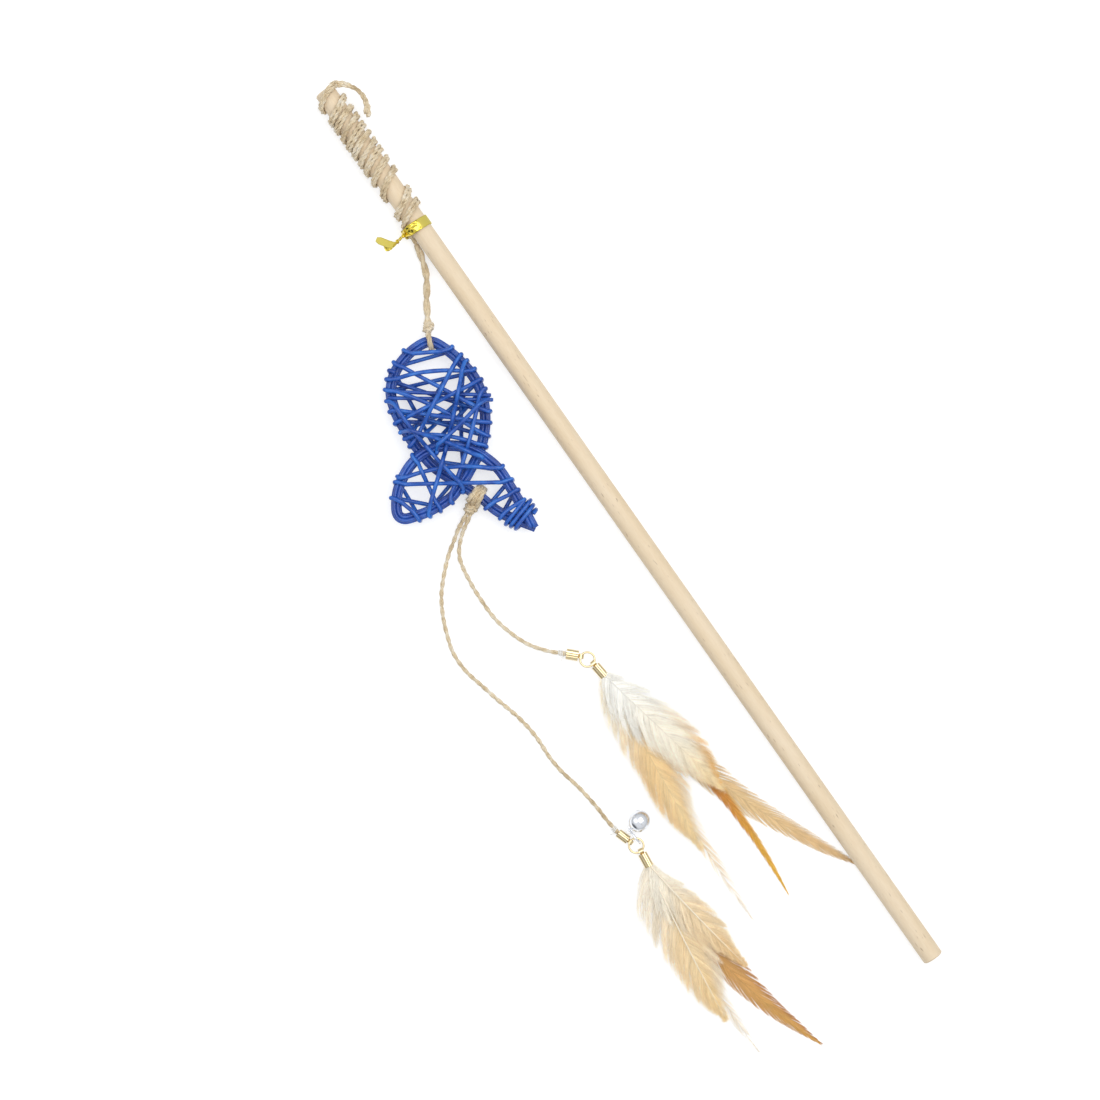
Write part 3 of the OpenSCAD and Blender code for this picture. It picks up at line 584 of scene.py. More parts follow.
@dataclass(frozen=True)
class Twine:
    """Twine of twisted plies with loose fibres, carried along a route."""

    diameter: float
    plies: int
    pitch: float
    seed: int
    hairs_per_mm: float = 2.2
    hair_l: float = 2.4 * MM
    hair_reach: float = 0.75 * MM
    hair_r: float = 0.045 * MM
    hair_swirl: float = 0.7 * MM
    sides: int = 9
    # Plies press together, so each is wider than a round one that fits
    pressed: float = 1.24
    lump: float = 0.07
    lump_l: float = 3.7 * MM
    fuzz: float = 0.03
    stripe: float = 0.14
    speckle: float = 0.04

    def add_to(self, net: Net, path: Array, grow: Any = 1.0) -> None:
        """Adds the plies, each a helix round the path (station + radius (cos a, sin a)), and their fibres.

        Args:
            net: The net to add to.
            path: The twine's middle line, in even steps.
            grow: A factor on the radius at each station, such as for a frayed end.
        """
        rng = np.random.default_rng(self.seed)
        r = self.diameter / 2 / (1 + 1 / math.sin(math.pi / self.plies)) * self.pressed
        _, u, v = carried_frame(path)
        run = run_along(path)
        for n in range(self.plies):
            a = 2 * np.pi * (n / self.plies + run / self.pitch)
            line = path + (self.diameter / 2 - r) * np.reshape(grow, (-1, 1)) * around(a, u, v)
            line[:, 2] = np.maximum(line[:, 2], 1.12 * r * grow)
            wave = 1 + self.lump * np.sin(2 * np.pi * run / self.lump_l + n)
            wave = wave + self.fuzz * rng.standard_normal(len(path))
            streak = 0.95 + self.stripe * (rng.random((1, self.sides)) - 0.5)
            streak = streak + self.speckle * rng.standard_normal((len(path), self.sides))
            net.tube(line, r * grow * wave, self.sides, np.clip(streak, 0.7, 1.1)[..., None],
                     -2 * np.pi * run / self.pitch)
        self.add_hairs(net, path, rng)

    def add_hairs(self, net: Net, path: Array, rng: Draws) -> None:
        """Adds loose fibres: each leaves the surface at a slant and curls back along the twine.

        Args:
            net: The net to add to.
            path: The twine's middle line.
            rng: Source of their places.
        """
        many = int(run_along(path)[-1] / MM * self.hairs_per_mm)
        each = (many, 1, 1)
        along, u, v = carried_frame(path)
        at = rng.integers(1, len(path) - 1, many)
        out = around(rng.uniform(0, 2 * np.pi, many), u[at], v[at])[:, None]
        along = along[at][:, None]
        aside = np.cross(along, out)
        t = np.linspace(0, 1, 5)[:, None]
        reach = self.hair_reach * rng.uniform(0.15, 1.0, each)
        length = self.hair_l * rng.uniform(0.4, 1.2, each) * rng.choice([-1, 1], each)
        swirl = rng.normal(0, self.hair_swirl, each)
        middle = (path[at][:, None] + out * (self.diameter * 0.42 + reach * np.sin(np.pi * t * 0.8))
                  + along * length * t + aside * swirl * t**2)
        middle[..., 2] = np.maximum(middle[..., 2], 0.1 * MM)
        wide = unit(np.cross(along, out + 0.5 * aside)) * self.hair_r * (1.1 - t)
        net.grids(np.stack([middle - wide, middle + wide], axis=2), tints=rng.uniform(0.95, 1.15, (many, 1, 1, 1)))


@dataclass
class HandleWinding:
    """The doubled jute wound round the stick's tip, with its loose frayed end."""

    material: Material
    stick: StickFrame
    wrap_d: float = 2.5 * MM
    wrap_l: float = 58.0 * MM
    lean: float = 1.5 * MM
    exit_run: float = 67.0 * MM
    end_gap: float = 0.5 * MM
    strand_d: float = 1.62 * MM
    exit_turn: float = -30.0
    turn_shares: tuple[float, ...] = (0.03, 0.16, 0.22, 0.29, 0.36, 0.42, 0.49, 0.55, 0.63, 0.72, 0.90, 0.97, 1.05)
    first_turn: float = -0.22
    fray: float = 0.3
    fray_l: float = 2.5 * MM
    step: float = 0.4 * MM
    loose_end: Route = (
        (0.017, -0.0079, 0.0036), (0.015, -0.0095, 0.0032), (0.012, -0.0106, 0.0028),
        (0.0085, -0.0108, 0.0022), (0.005, -0.0096, 0.0016), (0.0022, -0.0076, 0.001))

    def route(self) -> Array:
        """The winding's middle line: (run, r cos a, r sin a), with a falling by a full turn from share to share.

        Returns:
            Points in the part's frame.
        """
        r = self.stick.radius + 0.1 * MM + self.wrap_d / 2
        turn_r = self.stick.radius + 0.25 * MM + self.strand_d / 2
        u = np.arange(self.first_turn, len(self.turn_shares) - 2 + (90 - self.exit_turn) / 360, 1 / 24)
        run = np.interp(u, np.arange(len(self.turn_shares)), self.turn_shares) * self.wrap_l
        a = np.radians(90 - 360 * u)
        turns = np.stack([run + self.lean * np.cos(a), turn_r * np.cos(a), turn_r * np.sin(a)], axis=1)
        out = way(self.exit_turn) * r
        ends = [(self.exit_run - self.end_gap - back, out[0], out[1]) for back in (2 * self.wrap_d, 0.0)]
        return self.stick.out(np.concatenate([self.loose_end, turns, ends]))

    def build(self) -> None:
        """Makes the winding from two strands that sway round each other, its first millimetres frayed."""
        path = even_curve(self.route(), self.step)
        run = run_along(path)
        grow = 1 + self.fray * np.exp(-((run / self.fray_l) ** 2))
        lean = (0.7 * np.sin(run / (11 * MM)) + 0.5 * np.sin(run / (4.3 * MM)))[:, None]
        along, side = self.stick.turned((1.0, 0.0, 0.0)), carried_frame(path)[2]
        net = Net()
        for k in (-1, 1):
            apart = k * self.strand_d * (0.47 * np.cos(lean) * along + 0.15 * np.sin(lean) * side)
            strand = even_curve(path + apart, self.step)
            fray = np.interp(np.linspace(0, 1, len(strand)), np.linspace(0, 1, len(path)), grow)
            Twine(self.strand_d, 2, 5.2 * MM, 11 + k, 1.5).add_to(net, strand, fray)
        net.piece("Handle_winding_jute", self.material, "handle_winding")


@dataclass
class Cords:
    """The three free twines: the hanger from the stick to the fish, and the two drops."""

    material: Material
    hanger_d: float = 2.8 * MM
    drop_d: float = 1.66 * MM
    drop_pitch: float = 7.0 * MM
    hanger_route: Route = (
        (0.0035, 0.0016, 0.0029), (0.008, 0.003, 0.002), (0.012, 0.0038, 0.0016), (0.017, 0.0039, 0.0015),
        (0.022, 0.0039, 0.0018), (0.026, 0.0042, 0.0028), (0.0296, 0.0045, 0.0042))
    short_route: Route = (
        (0.0004, 0.0009, 0.003), (0.0037, -0.0002, 0.0018), (0.0077, -0.0009, 0.0011), (0.0112, -0.0007, 0.001),
        (0.0147, 0.0005, 0.001), (0.0211, 0.0037, 0.001), (0.028, 0.008, 0.001), (0.0344, 0.0128, 0.001),
        (0.0392, 0.0181, 0.001), (0.0435, 0.0244, 0.001), (0.0458, 0.0303, 0.0011), (0.0469, 0.0351, 0.0015),
        (0.0475, 0.0395, 0.0018), (0.048, 0.0425, 0.0018))
    long_route: Route = (
        (-0.0004, -0.0009, 0.003), (0.0025, -0.0021, 0.0018), (0.0053, -0.0032, 0.0011), (0.0097, -0.0048, 0.001),
        (0.0147, -0.0061, 0.001), (0.0243, -0.0076, 0.001), (0.0323, -0.0072, 0.001), (0.0392, -0.0058, 0.001),
        (0.0472, -0.0032, 0.001), (0.0541, 0.0016, 0.001), (0.0594, 0.0074, 0.001), (0.0651, 0.0138, 0.001),
        (0.072, 0.0219, 0.001), (0.0792, 0.0284, 0.001), (0.0867, 0.0333, 0.001), (0.0924, 0.0382, 0.001),
        (0.0985, 0.0447, 0.001), (0.1053, 0.0509, 0.0011), (0.1105, 0.055, 0.0015), (0.1153, 0.0593, 0.0018),
        (0.1171, 0.0617, 0.0018))

    def cord(self, name: str, node: str, path: Array, twine: Twine, end: Piece) -> None:
        """Args:
            name: The piece's name.
            node: The node that it stands for.
            path: Its middle line, from where it leaves the object.
            twine: How it is spun.
            end: The piece on its far end; not used.
        """
        net = Net()
        twine.add_to(net, path)
        piece = net.piece(name, self.material, node)
        float(run_along(path)[-1])

    def build(self, hanger_knot: Piece) -> None:
        """Makes all three.

        Args:
            hanger_knot: The knot that the hanger ends in.
        """
        start = (0.0, 0.0, joint_place("fish_swing")[2])
        hanger = even_curve(HANG.out((start, *self.hanger_route)), 0.4 * MM)
        self.cord("Hanger_jute", "hanger_twine", hanger, Twine(self.hanger_d, 2, 14.0 * MM, 21), hanger_knot)
        for side, route in (("short", self.short_route), ("long", self.long_route)):
            twine = Twine(self.drop_d, 2, self.drop_pitch, len(route), 1.6, hair_reach=0.6 * MM, sides=8)
            self.cord(f"{side.capitalize()}_drop_jute", f"{side}_drop_twine", even_curve(DROPS.out(route)), twine,
                      frame["nodes"][f"{side}_crimp"])


@dataclass
class Knots:
    """Jute round the fish's top and tail: turns of twine, barrel knots, and a stem for each drop."""

    material: Material
    loop_d: float = 1.8 * MM
    loop_path_r: float = 3.397 * MM
    loop_lean: float = 12.0
    knot_r: float = 2.5 * MM
    knot_l: float = 3.6 * MM
    barrel_pitch: float = 4.4 * MM
    barrel_turns: float = 2.4
    ring_share: float = 1.12
    ring_pitch: float = 9.0 * MM
    ring_hair_l: float = 3.2 * MM
    ring_step: float = 0.85

    def ring(self, net: Net, middle: Array, across: Array, seed: int) -> None:
        """Adds an upright turn of hairy twine: middle + r (cos a across + sin a up), once round and a little more.

        Args:
            net: The net to add to.
            middle: Its centre.
            across: The level direction in its plane.
            seed: Seed for its fibres.
        """
        a = np.linspace(0, 2 * np.pi * 1.02, 60)
        Twine(self.loop_d * self.ring_share, 3, self.ring_pitch, seed, 5.0, self.ring_hair_l).add_to(
            net, even_curve(middle + self.loop_path_r * around(a, across, UP)))

    def barrel(self, net: Net, start: Array, end: Array, radius: float, seed: int) -> None:
        """Adds a knot: turns of twine round an axis (r cos a, r sin a), a short core, and one turn across.

        Args:
            net: The net to add to.
            start: One end of its axis.
            end: The other end.
            radius: Its outer radius.
            seed: Seed for its fibres.
        """
        axis = unit(end - start)
        side = unit(np.cross(axis, UP))
        up = np.cross(side, axis)
        share = np.linspace(0, 1, 90)[:, None]
        r = (radius - self.loop_d / 2) * (0.72 + 0.28 * np.sin(np.pi * share))
        a = 2 * np.pi * self.barrel_turns * share[:, 0]
        turns = start + (end - start) * (0.08 + 0.84 * share) + r * around(a, side, up)
        core = start + (end - start) * np.linspace(-0.12, 1.12, 14)[:, None]
        b = np.linspace(-0.2 * np.pi, 1.2 * np.pi, 40)
        over = (start + end) / 2 + radius * 0.86 * around(b, unit(side + 0.7 * axis), up)
        for twine, line in ((Twine(self.loop_d, 2, self.barrel_pitch, seed, 1.6), turns),
                            (Twine(self.loop_d * 1.15, 2, 5.0 * MM, seed + 1), core),
                            (Twine(self.loop_d * 0.9, 2, self.barrel_pitch, seed + 2), over)):
            twine.add_to(net, even_curve(line))

    def hanger_loop(self) -> Piece:
        """Returns the loop round the fish's top with its knot, where the hanger twine ends."""
        net = Net()
        self.ring(net, joint_place("fish_tilt"), way(HANG_TURN + self.loop_lean), 31)
        before, end = HANG.out(Cords.hanger_route[-2:])
        self.barrel(net, end, end + unit(end - before) * self.knot_l, 0.9 * self.knot_r, 33)
        return net.piece("Hanger_loop_jute", self.material, "hanger_loop")

    def tail_knot(self, fish: "Fish") -> None:
        """Makes the turns round the fish's right leg, their knot, and the stems of the drops.

        Args:
            fish: The fish, which gives the place on the leg.
        """
        net = Net()
        bar = np.array([fish.apex[0] + fish.tail_shares[0] * fish.length,
                        fish.apex[1] + fish.tail_shares[1] * fish.width, fish.mid_z - fish.level_z])
        leg, turned = way(fish.tail_turn), FloorFrame((0.0, 0.0, 0.0))
        for k in (-1, 0, 1):
            slant = unit(np.cross(leg, UP) + 0.12 * k * leg)
            self.ring(net, HANG.out(bar + k * self.ring_step * self.loop_d * leg), turned.out(slant), 41 + 2 * k)
        pivot = bar + (*fish.tail_reach, 0.0)
        pivot[2] = joint_place("short_drop_lift")[2]
        middle = bar + fish.knot_share * (pivot - bar)
        half = way(fish.drop_turn) * self.knot_l / 2
        self.barrel(net, HANG.out(middle - half), HANG.out(middle + half), 1.12 * self.knot_r, 51)
        for k, side in ((-1, "long"), (1, "short")):
            start, end = HANG.out(middle + k * 0.6 * MM * way(fish.drop_turn + 90)), joint_place(f"{side}_drop_lift")
            stem = np.array([start, (start + end) / 2, end])
            Twine(Cords.drop_d * 1.1, 2, Cords.drop_pitch, 60 + k).add_to(net, even_curve(stem))
        net.piece("Tail_knot_jute", self.material, "tail_knot")


# The wicker fish


class Lacing:
    """One cane wound across the frame: the rim places that it goes round, and how far each pass bows."""

    def __init__(self, fish: "Fish", shares: Shares) -> None:
        """Works out the rim places.

        Args:
            fish: The fish that it winds.
            shares: Place of each turn in points of the frame's line, and the bow of the pass that follows.
        """
        self.fish = fish
        self.shares = shares
        self.rims = curve_at(fish.line, np.array(shares)[:, 0]) * (1, 1, 0)
        self.laid: list[Array] = []

    def face(self, i: int) -> int:
        """Gives pass i's face: 1 for the front and -1 for the back, by turns."""
        return 1 if i % 2 == 0 else -1

    def crossing(self, i: int, t: Array) -> Array:
        """Gives points of pass i, on the quadratic curve through its ends and a pull at twice its bow.

        Args:
            i: The pass.
            t: Shares of the way across.

        Returns:
            The points, on the floor.
        """
        start, end = self.rims[i], self.rims[i + 1]
        pull = (start + end) / 2 + 2 * self.shares[i][1] * np.linalg.norm(end - start) * self.fish.left(end - start)
        t = t[:, None]
        return (1 - t) ** 2 * start + 2 * t * (1 - t) * pull + t**2 * end


@dataclass
class Fish:
    """A fish outlined by five bent canes and wound across, front and back, with one long cane."""

    canes: Material
    lacing: Material
    apex: tuple[float, float] = (36.8 * MM, 5.3 * MM)
    length: float = 70.0 * MM
    width: float = 52.6 * MM
    cane_d: float = 1.28 * MM
    cane_gap: float = 0.08 * MM
    lace_d: float = 1.5 * MM
    lace_gap: float = 0.45 * MM
    lie_gap: float = 0.1 * MM
    back_layers: int = 3
    sides: int = 14
    bind_turn: float = 48.7
    bind_turns: int = 3
    bind_widths: tuple[float, float] = (1.52, 1.05)
    bind_shares: tuple[float, float] = (0.945, 0.675)
    bind_back: float = 1.0 * MM
    tail_shares: tuple[float, float] = (0.828, 0.342)
    tail_turn: float = 58.0
    tail_reach: tuple[float, float] = (12.5 * MM, -6.2 * MM)
    knot_share: float = 0.38
    drop_turn: float = -21.7
    end_share: float = -0.15
    hug: float = 0.75 * MM
    slant: float = 1.1 * MM
    cut_over: float = 2.6 * MM
    settle: float = 1.7 * MM
    cane_share: float = 1.12
    lace_share: float = 1.08
    knob: float = 0.05
    wrap_room: float = 2.2 * MM
    frame_shares: Route = (
        (0.985, 0.71, -1), (0.92, 0.50, -1), (0.835, 0.355, -1), (0.757, 0.19, -1), (0.68, 0.035, -1),
        (0.58, -0.085, -1), (0.486, -0.17, -1), (0.386, -0.243, -1), (0.286, -0.28, -1), (0.19, -0.263, -1),
        (0.105, -0.2, -1), (0.035, -0.105, -1), (0, 0, -1), (0.037, 0.107, -1), (0.1, 0.21, -1),
        (0.185, 0.31, -1), (0.286, 0.373, -1), (0.394, 0.396, -1), (0.5, 0.387, -1), (0.595, 0.355, -1),
        (0.642, 0.325, -0.9), (0.688, 0.292, 0), (0.735, 0.256, 0.95), (0.79, 0.205, 1), (0.842, 0.15, 1),
        (0.903, 0.026, 1), (0.94, -0.095, 1), (0.955, -0.185, 1), (0.92, -0.235, 1), (0.82, -0.232, 1),
        (0.74, -0.195, 1), (0.657, -0.127, 1), (0.594, -0.026, 1), (0.564, 0.107, 1), (0.571, 0.252, 1),
        (0.618, 0.385, 1), (0.694, 0.5, 1), (0.787, 0.58, 1), (0.88, 0.655, 1), (0.97, 0.72, 1))
    cane_places: Shares = ((-1, -0.5), (0, -0.5), (1, -0.5), (-0.5, 0.5), (0.5, 0.5))
    cross_shares: tuple[Shares, ...] = (((0.27, -0.31), (0.29, 0.44)), ((0.305, -0.30), (0.315, 0.455)))
    rim_shares: Shares = (
        (10.45, 0), (13.3, 0), (9.7, 0), (16.85, 0), (8.75, 0.061), (14.8, 0), (8.25, 0.04), (18.05, 0),
        (7.15, 0), (17.4, 0), (6.55, 0), (15.35, 0), (5.3, 0), (13.9, 0), (5.75, 0.066), (18.6, 0),
        (24.1, -0.03), (15.8, 0), (30, 0.07), (35.95, 0), (31.35, 0), (24.75, 0), (28.75, 0), (25.9, 0),
        (29.6, 0), (36.7, 0), (1.5, 0), (37.3, 0), (0.9, 0), (37.85, 0))
    second_shares: Shares = (
        (7.7, -0.03), (2.6, 0.03), (14.3, 0.02), (25.3, 0.02), (19.4, -0.03), (6.1, 0.03), (16.3, 0.02),
        (32.5, 0.0), (9.2, 0.0))
    wrap_shares: Shares = ((0.45, 1), (0.9, 0.95), (1, 0.72), (1, -0.72), (0.9, -0.95), (0.45, -1))

    def __post_init__(self) -> None:
        """Works out the bundle's and the lacing's own sizes, as the part's source does."""
        self.cane_step = self.cane_d + self.cane_gap
        self.row_step = self.cane_step * math.sin(math.radians(60))
        self.bundle_w = 2 * self.cane_step + self.cane_d
        self.lace_r = self.lace_d / 2
        bundle_h = self.row_step + self.cane_d
        over = bundle_h / 2 + self.lie_gap + self.lace_r
        self.level_z = (bundle_h + self.cane_gap) / 2
        self.lace_z = over + self.level_z
        self.cross_z = over - self.level_z
        self.lace_pitch = self.lace_d + self.lace_gap
        self.mid_z = self.lace_z + (self.back_layers - 1) * self.lace_pitch + self.lace_r
        self.line = np.array(self.frame_shares) * (self.length, self.width, self.level_z)

    def out(self, points: Array) -> Array:
        """Takes points from the fish's frame to the part's."""
        return HANG.out(points + (*self.apex, self.mid_z))

    def left(self, vectors: Array) -> Array:
        """Gives the flat unit vector square to each vector, on its left."""
        return unit(np.cross(UP, vectors))

    def side_at(self, places: Array) -> Array:
        """Gives the left of the frame's middle line at places counted in its points."""
        after, before = np.minimum(places + 0.05, len(self.line) - 1), np.maximum(places - 0.05, 0)
        return self.left(curve_at(self.line, after) - curve_at(self.line, before))

    def piece(self, name: str, node: str, material: Material, *canes: tuple[Array, Any, Draws]) -> None:
        """Makes a piece of canes with paler and darker stripes along them, one for each side.

        Args:
            name: The piece's name.
            node: The node that it stands for.
            material: Its finish.
            canes: Middle line, radius and source of stripes of each cane.
        """
        net = Net()
        for path, radius, rng in canes:
            net.tube(path, radius, self.sides, 0.92 + 0.2 * (rng.random((1, self.sides, 1)) - 0.5))
        net.piece(name, material, node)

    def frame_cane(self, index: int) -> None:
        """Makes one bent cane of the frame: the middle line moved to its own place in the bundle, and cut off past it.

        Args:
            index: Which cane.
        """
        across, row = self.cane_places[index]
        places = np.linspace(0, len(self.line) - 1, 10 * len(self.line))
        path = curve_at(self.line, places) + across * self.cane_step * self.side_at(places)
        path[:, 2] += row * self.row_step
        rng = np.random.default_rng(70 + index)
        over = np.array([0.3, 1.0])[:, None] * self.cut_over * rng.uniform(0.6, 1.2)
        path = np.concatenate([path[:1] + over[::-1] * unit(path[0] - path[3]), path,
                               path[-1:] + over * unit(path[-1] - path[-4])])
        run = run_along(path)
        knobs = 1 + self.knob * np.sin(run / (6.1 * MM) + index) * np.sin(run / (2.3 * MM) + 2 * index)
        self.piece(f"Frame_cane_{index + 1}", f"fish_cane_{index + 1}", self.canes,
                   (self.out(path), self.cane_d / 2 * self.cane_share * knobs, rng))

    def wrap(self, lacing: Lacing, i: int) -> Array:
        """Gives a lacing's turn round the rim, from one face to the other: it hugs the rim and slants along it.

        Args:
            lacing: The cane.
            i: Which of its rim places.

        Returns:
            The turn's points.
        """
        rims, last = lacing.rims, len(lacing.rims) - 1
        side = self.side_at(np.array([lacing.shares[i][0]]))[0]
        way_in = unit(rims[i] - rims[i - 1]) if i > 0 else np.zeros(3)
        way_out = unit(rims[i + 1] - rims[i]) if i < last else np.zeros(3)
        outward = -side if (way_in - way_out) @ side < 0 else side
        shares = np.array(self.wrap_shares)
        for end, row in ((0, 0), (last, -1)):
            if i == end:
                shares[row, 0] = self.end_share
        lace_out = self.bundle_w / 2 + self.lie_gap + self.lace_r - self.hug
        rim = np.cross(side, UP)
        slant = ((way_in + way_out) @ rim) * self.slant * np.linspace(-0.5, 0.5, len(shares))[:, None]
        points = rims[i] + outward * lace_out * shares[:, :1] + rim * slant
        points[:, 2] = -lacing.face(i) * self.lace_z * shares[:, 1]
        return points

    def lay(self, lacings: Sequence[Lacing]) -> None:
        """Lays each pass on its face. Where it crosses an earlier one it rises to rest on it: their middles stay a
        strand's width apart. The height is widened and then averaged over the same run, which keeps it clear.

        Args:
            lacings: The canes, in the order in which they are wound.
        """
        t = np.linspace(0, 1, 200)
        touch = 1.03 * self.lace_d
        laid: dict[int, list[Array]] = {1: [], -1: []}
        for lacing in lacings:
            for i in range(len(lacing.rims) - 1):
                line = lacing.crossing(i, t)
                need = np.full(len(t), self.lace_z)
                for other in laid[lacing.face(i)]:
                    gap = np.linalg.norm(line[:, None, :2] - other[None, :, :2], axis=2)
                    near, apart = gap.argmin(axis=1), gap.min(axis=1)
                    over = other[near, 2] + np.sqrt(np.maximum(0.0, touch**2 - apart**2))
                    need = np.where(apart < touch, np.maximum(need, over), need)
                reach = max(2, int(self.settle / (run_along(line)[-1] / (len(t) - 1))))
                line[:, 2] = windows(windows(need, reach).max(1), reach).mean(1)
                laid[lacing.face(i)].append(line)
                lacing.laid.append(line)

    def wound(self, lacing: Lacing, seed: int) -> tuple[Array, Any, Draws]:
        """Joins a lacing's turns and passes into one cane.

        Args:
            lacing: The cane, laid.
            seed: Seed for its stripes.

        Returns:
            Its middle line, radius and source of stripes.
        """
        rows = []
        for i in range(len(lacing.rims)):
            rows.append(self.wrap(lacing, i))
            if i < len(lacing.laid):
                run = run_along(lacing.laid[i])
                clear = (run > self.wrap_room) & (run < run[-1] - self.wrap_room)
                rows.append((lacing.laid[i] * (1, 1, lacing.face(i)))[clear][::8])
        path = even_curve(self.out(np.concatenate(rows)), 0.4 * MM)
        path[:, 2] = np.maximum(path[:, 2], self.lace_r * 1.02)
        run = run_along(path)
        knobs = 1 + self.knob * np.sin(run / (7.3 * MM)) * np.sin(run / (1.9 * MM))
        return path, self.lace_r * self.lace_share * knobs, np.random.default_rng(seed)

    def soft_square(self, value: Array) -> Array:
        """Squares off a sine: its sign times its size to the power 0.6."""
        return np.sign(value) * np.abs(value) ** 0.6

    def binding(self) -> None:
        """Makes the turns round both legs at the tip of the tail: a helix on a soft square, tapering with them."""
        share = np.linspace(0, 1, self.bind_turns * 12 + 1)
        a = 2 * np.pi * self.bind_turns * share + math.radians(60)
        wide, narrow = self.bind_widths
        half = (wide + (narrow - wide) * share) * self.bundle_w + self.lie_gap + self.lace_r
        local = np.stack([(share - 0.5) * self.bind_turns * self.lace_pitch - self.bind_back,
                          half * self.soft_square(np.cos(a)),
                          (self.lace_z + self.lie_gap) * self.soft_square(np.sin(a))], axis=1)
        middle = (self.bind_shares[0] * self.length, self.bind_shares[1] * self.width, 0.0)
        path = even_curve(self.out(FloorFrame(middle, self.bind_turn).out(local)))
        self.piece("Tip_binding_cane", "fish_tip_binding", self.lacing, (path, self.lace_r, np.random.default_rng(82)))

    def cross_cane(self, index: int) -> None:
        """Makes one straight cane laid across the frame, its cut ends a little rounded.

        Args:
            index: Which cane.
        """
        a, b = (np.array((x * self.length, y * self.width, self.cross_z)) for x, y in self.cross_shares[index])
        t = np.concatenate([[0, 0.004], np.linspace(0.012, 0.988, 60), [0.996, 1]])
        radius = self.lace_r * np.interp(np.minimum(t, 1 - t), (0, 0.004, 0.012), (0.72, 0.93, 1.0))
        self.piece(f"Cross_cane_{index + 1}", f"fish_cross_cane_{index + 1}", self.canes,
                   (self.out(a + (b - a) * t[:, None]), radius, np.random.default_rng(90 + index)))

    def build(self) -> None:
        """Makes all the fish's canes."""
        for index in range(len(self.cane_places)):
            self.frame_cane(index)
        for index in range(len(self.cross_shares)):
            self.cross_cane(index)
        lacings = (Lacing(self, self.rim_shares), Lacing(self, self.second_shares))
        self.lay(lacings)
        self.piece("Winding_cane", "fish_winding", self.lacing,
                   *(self.wound(lacing, seed) for lacing, seed in zip(lacings, (81, 82))))
        self.binding()


# Foil strip


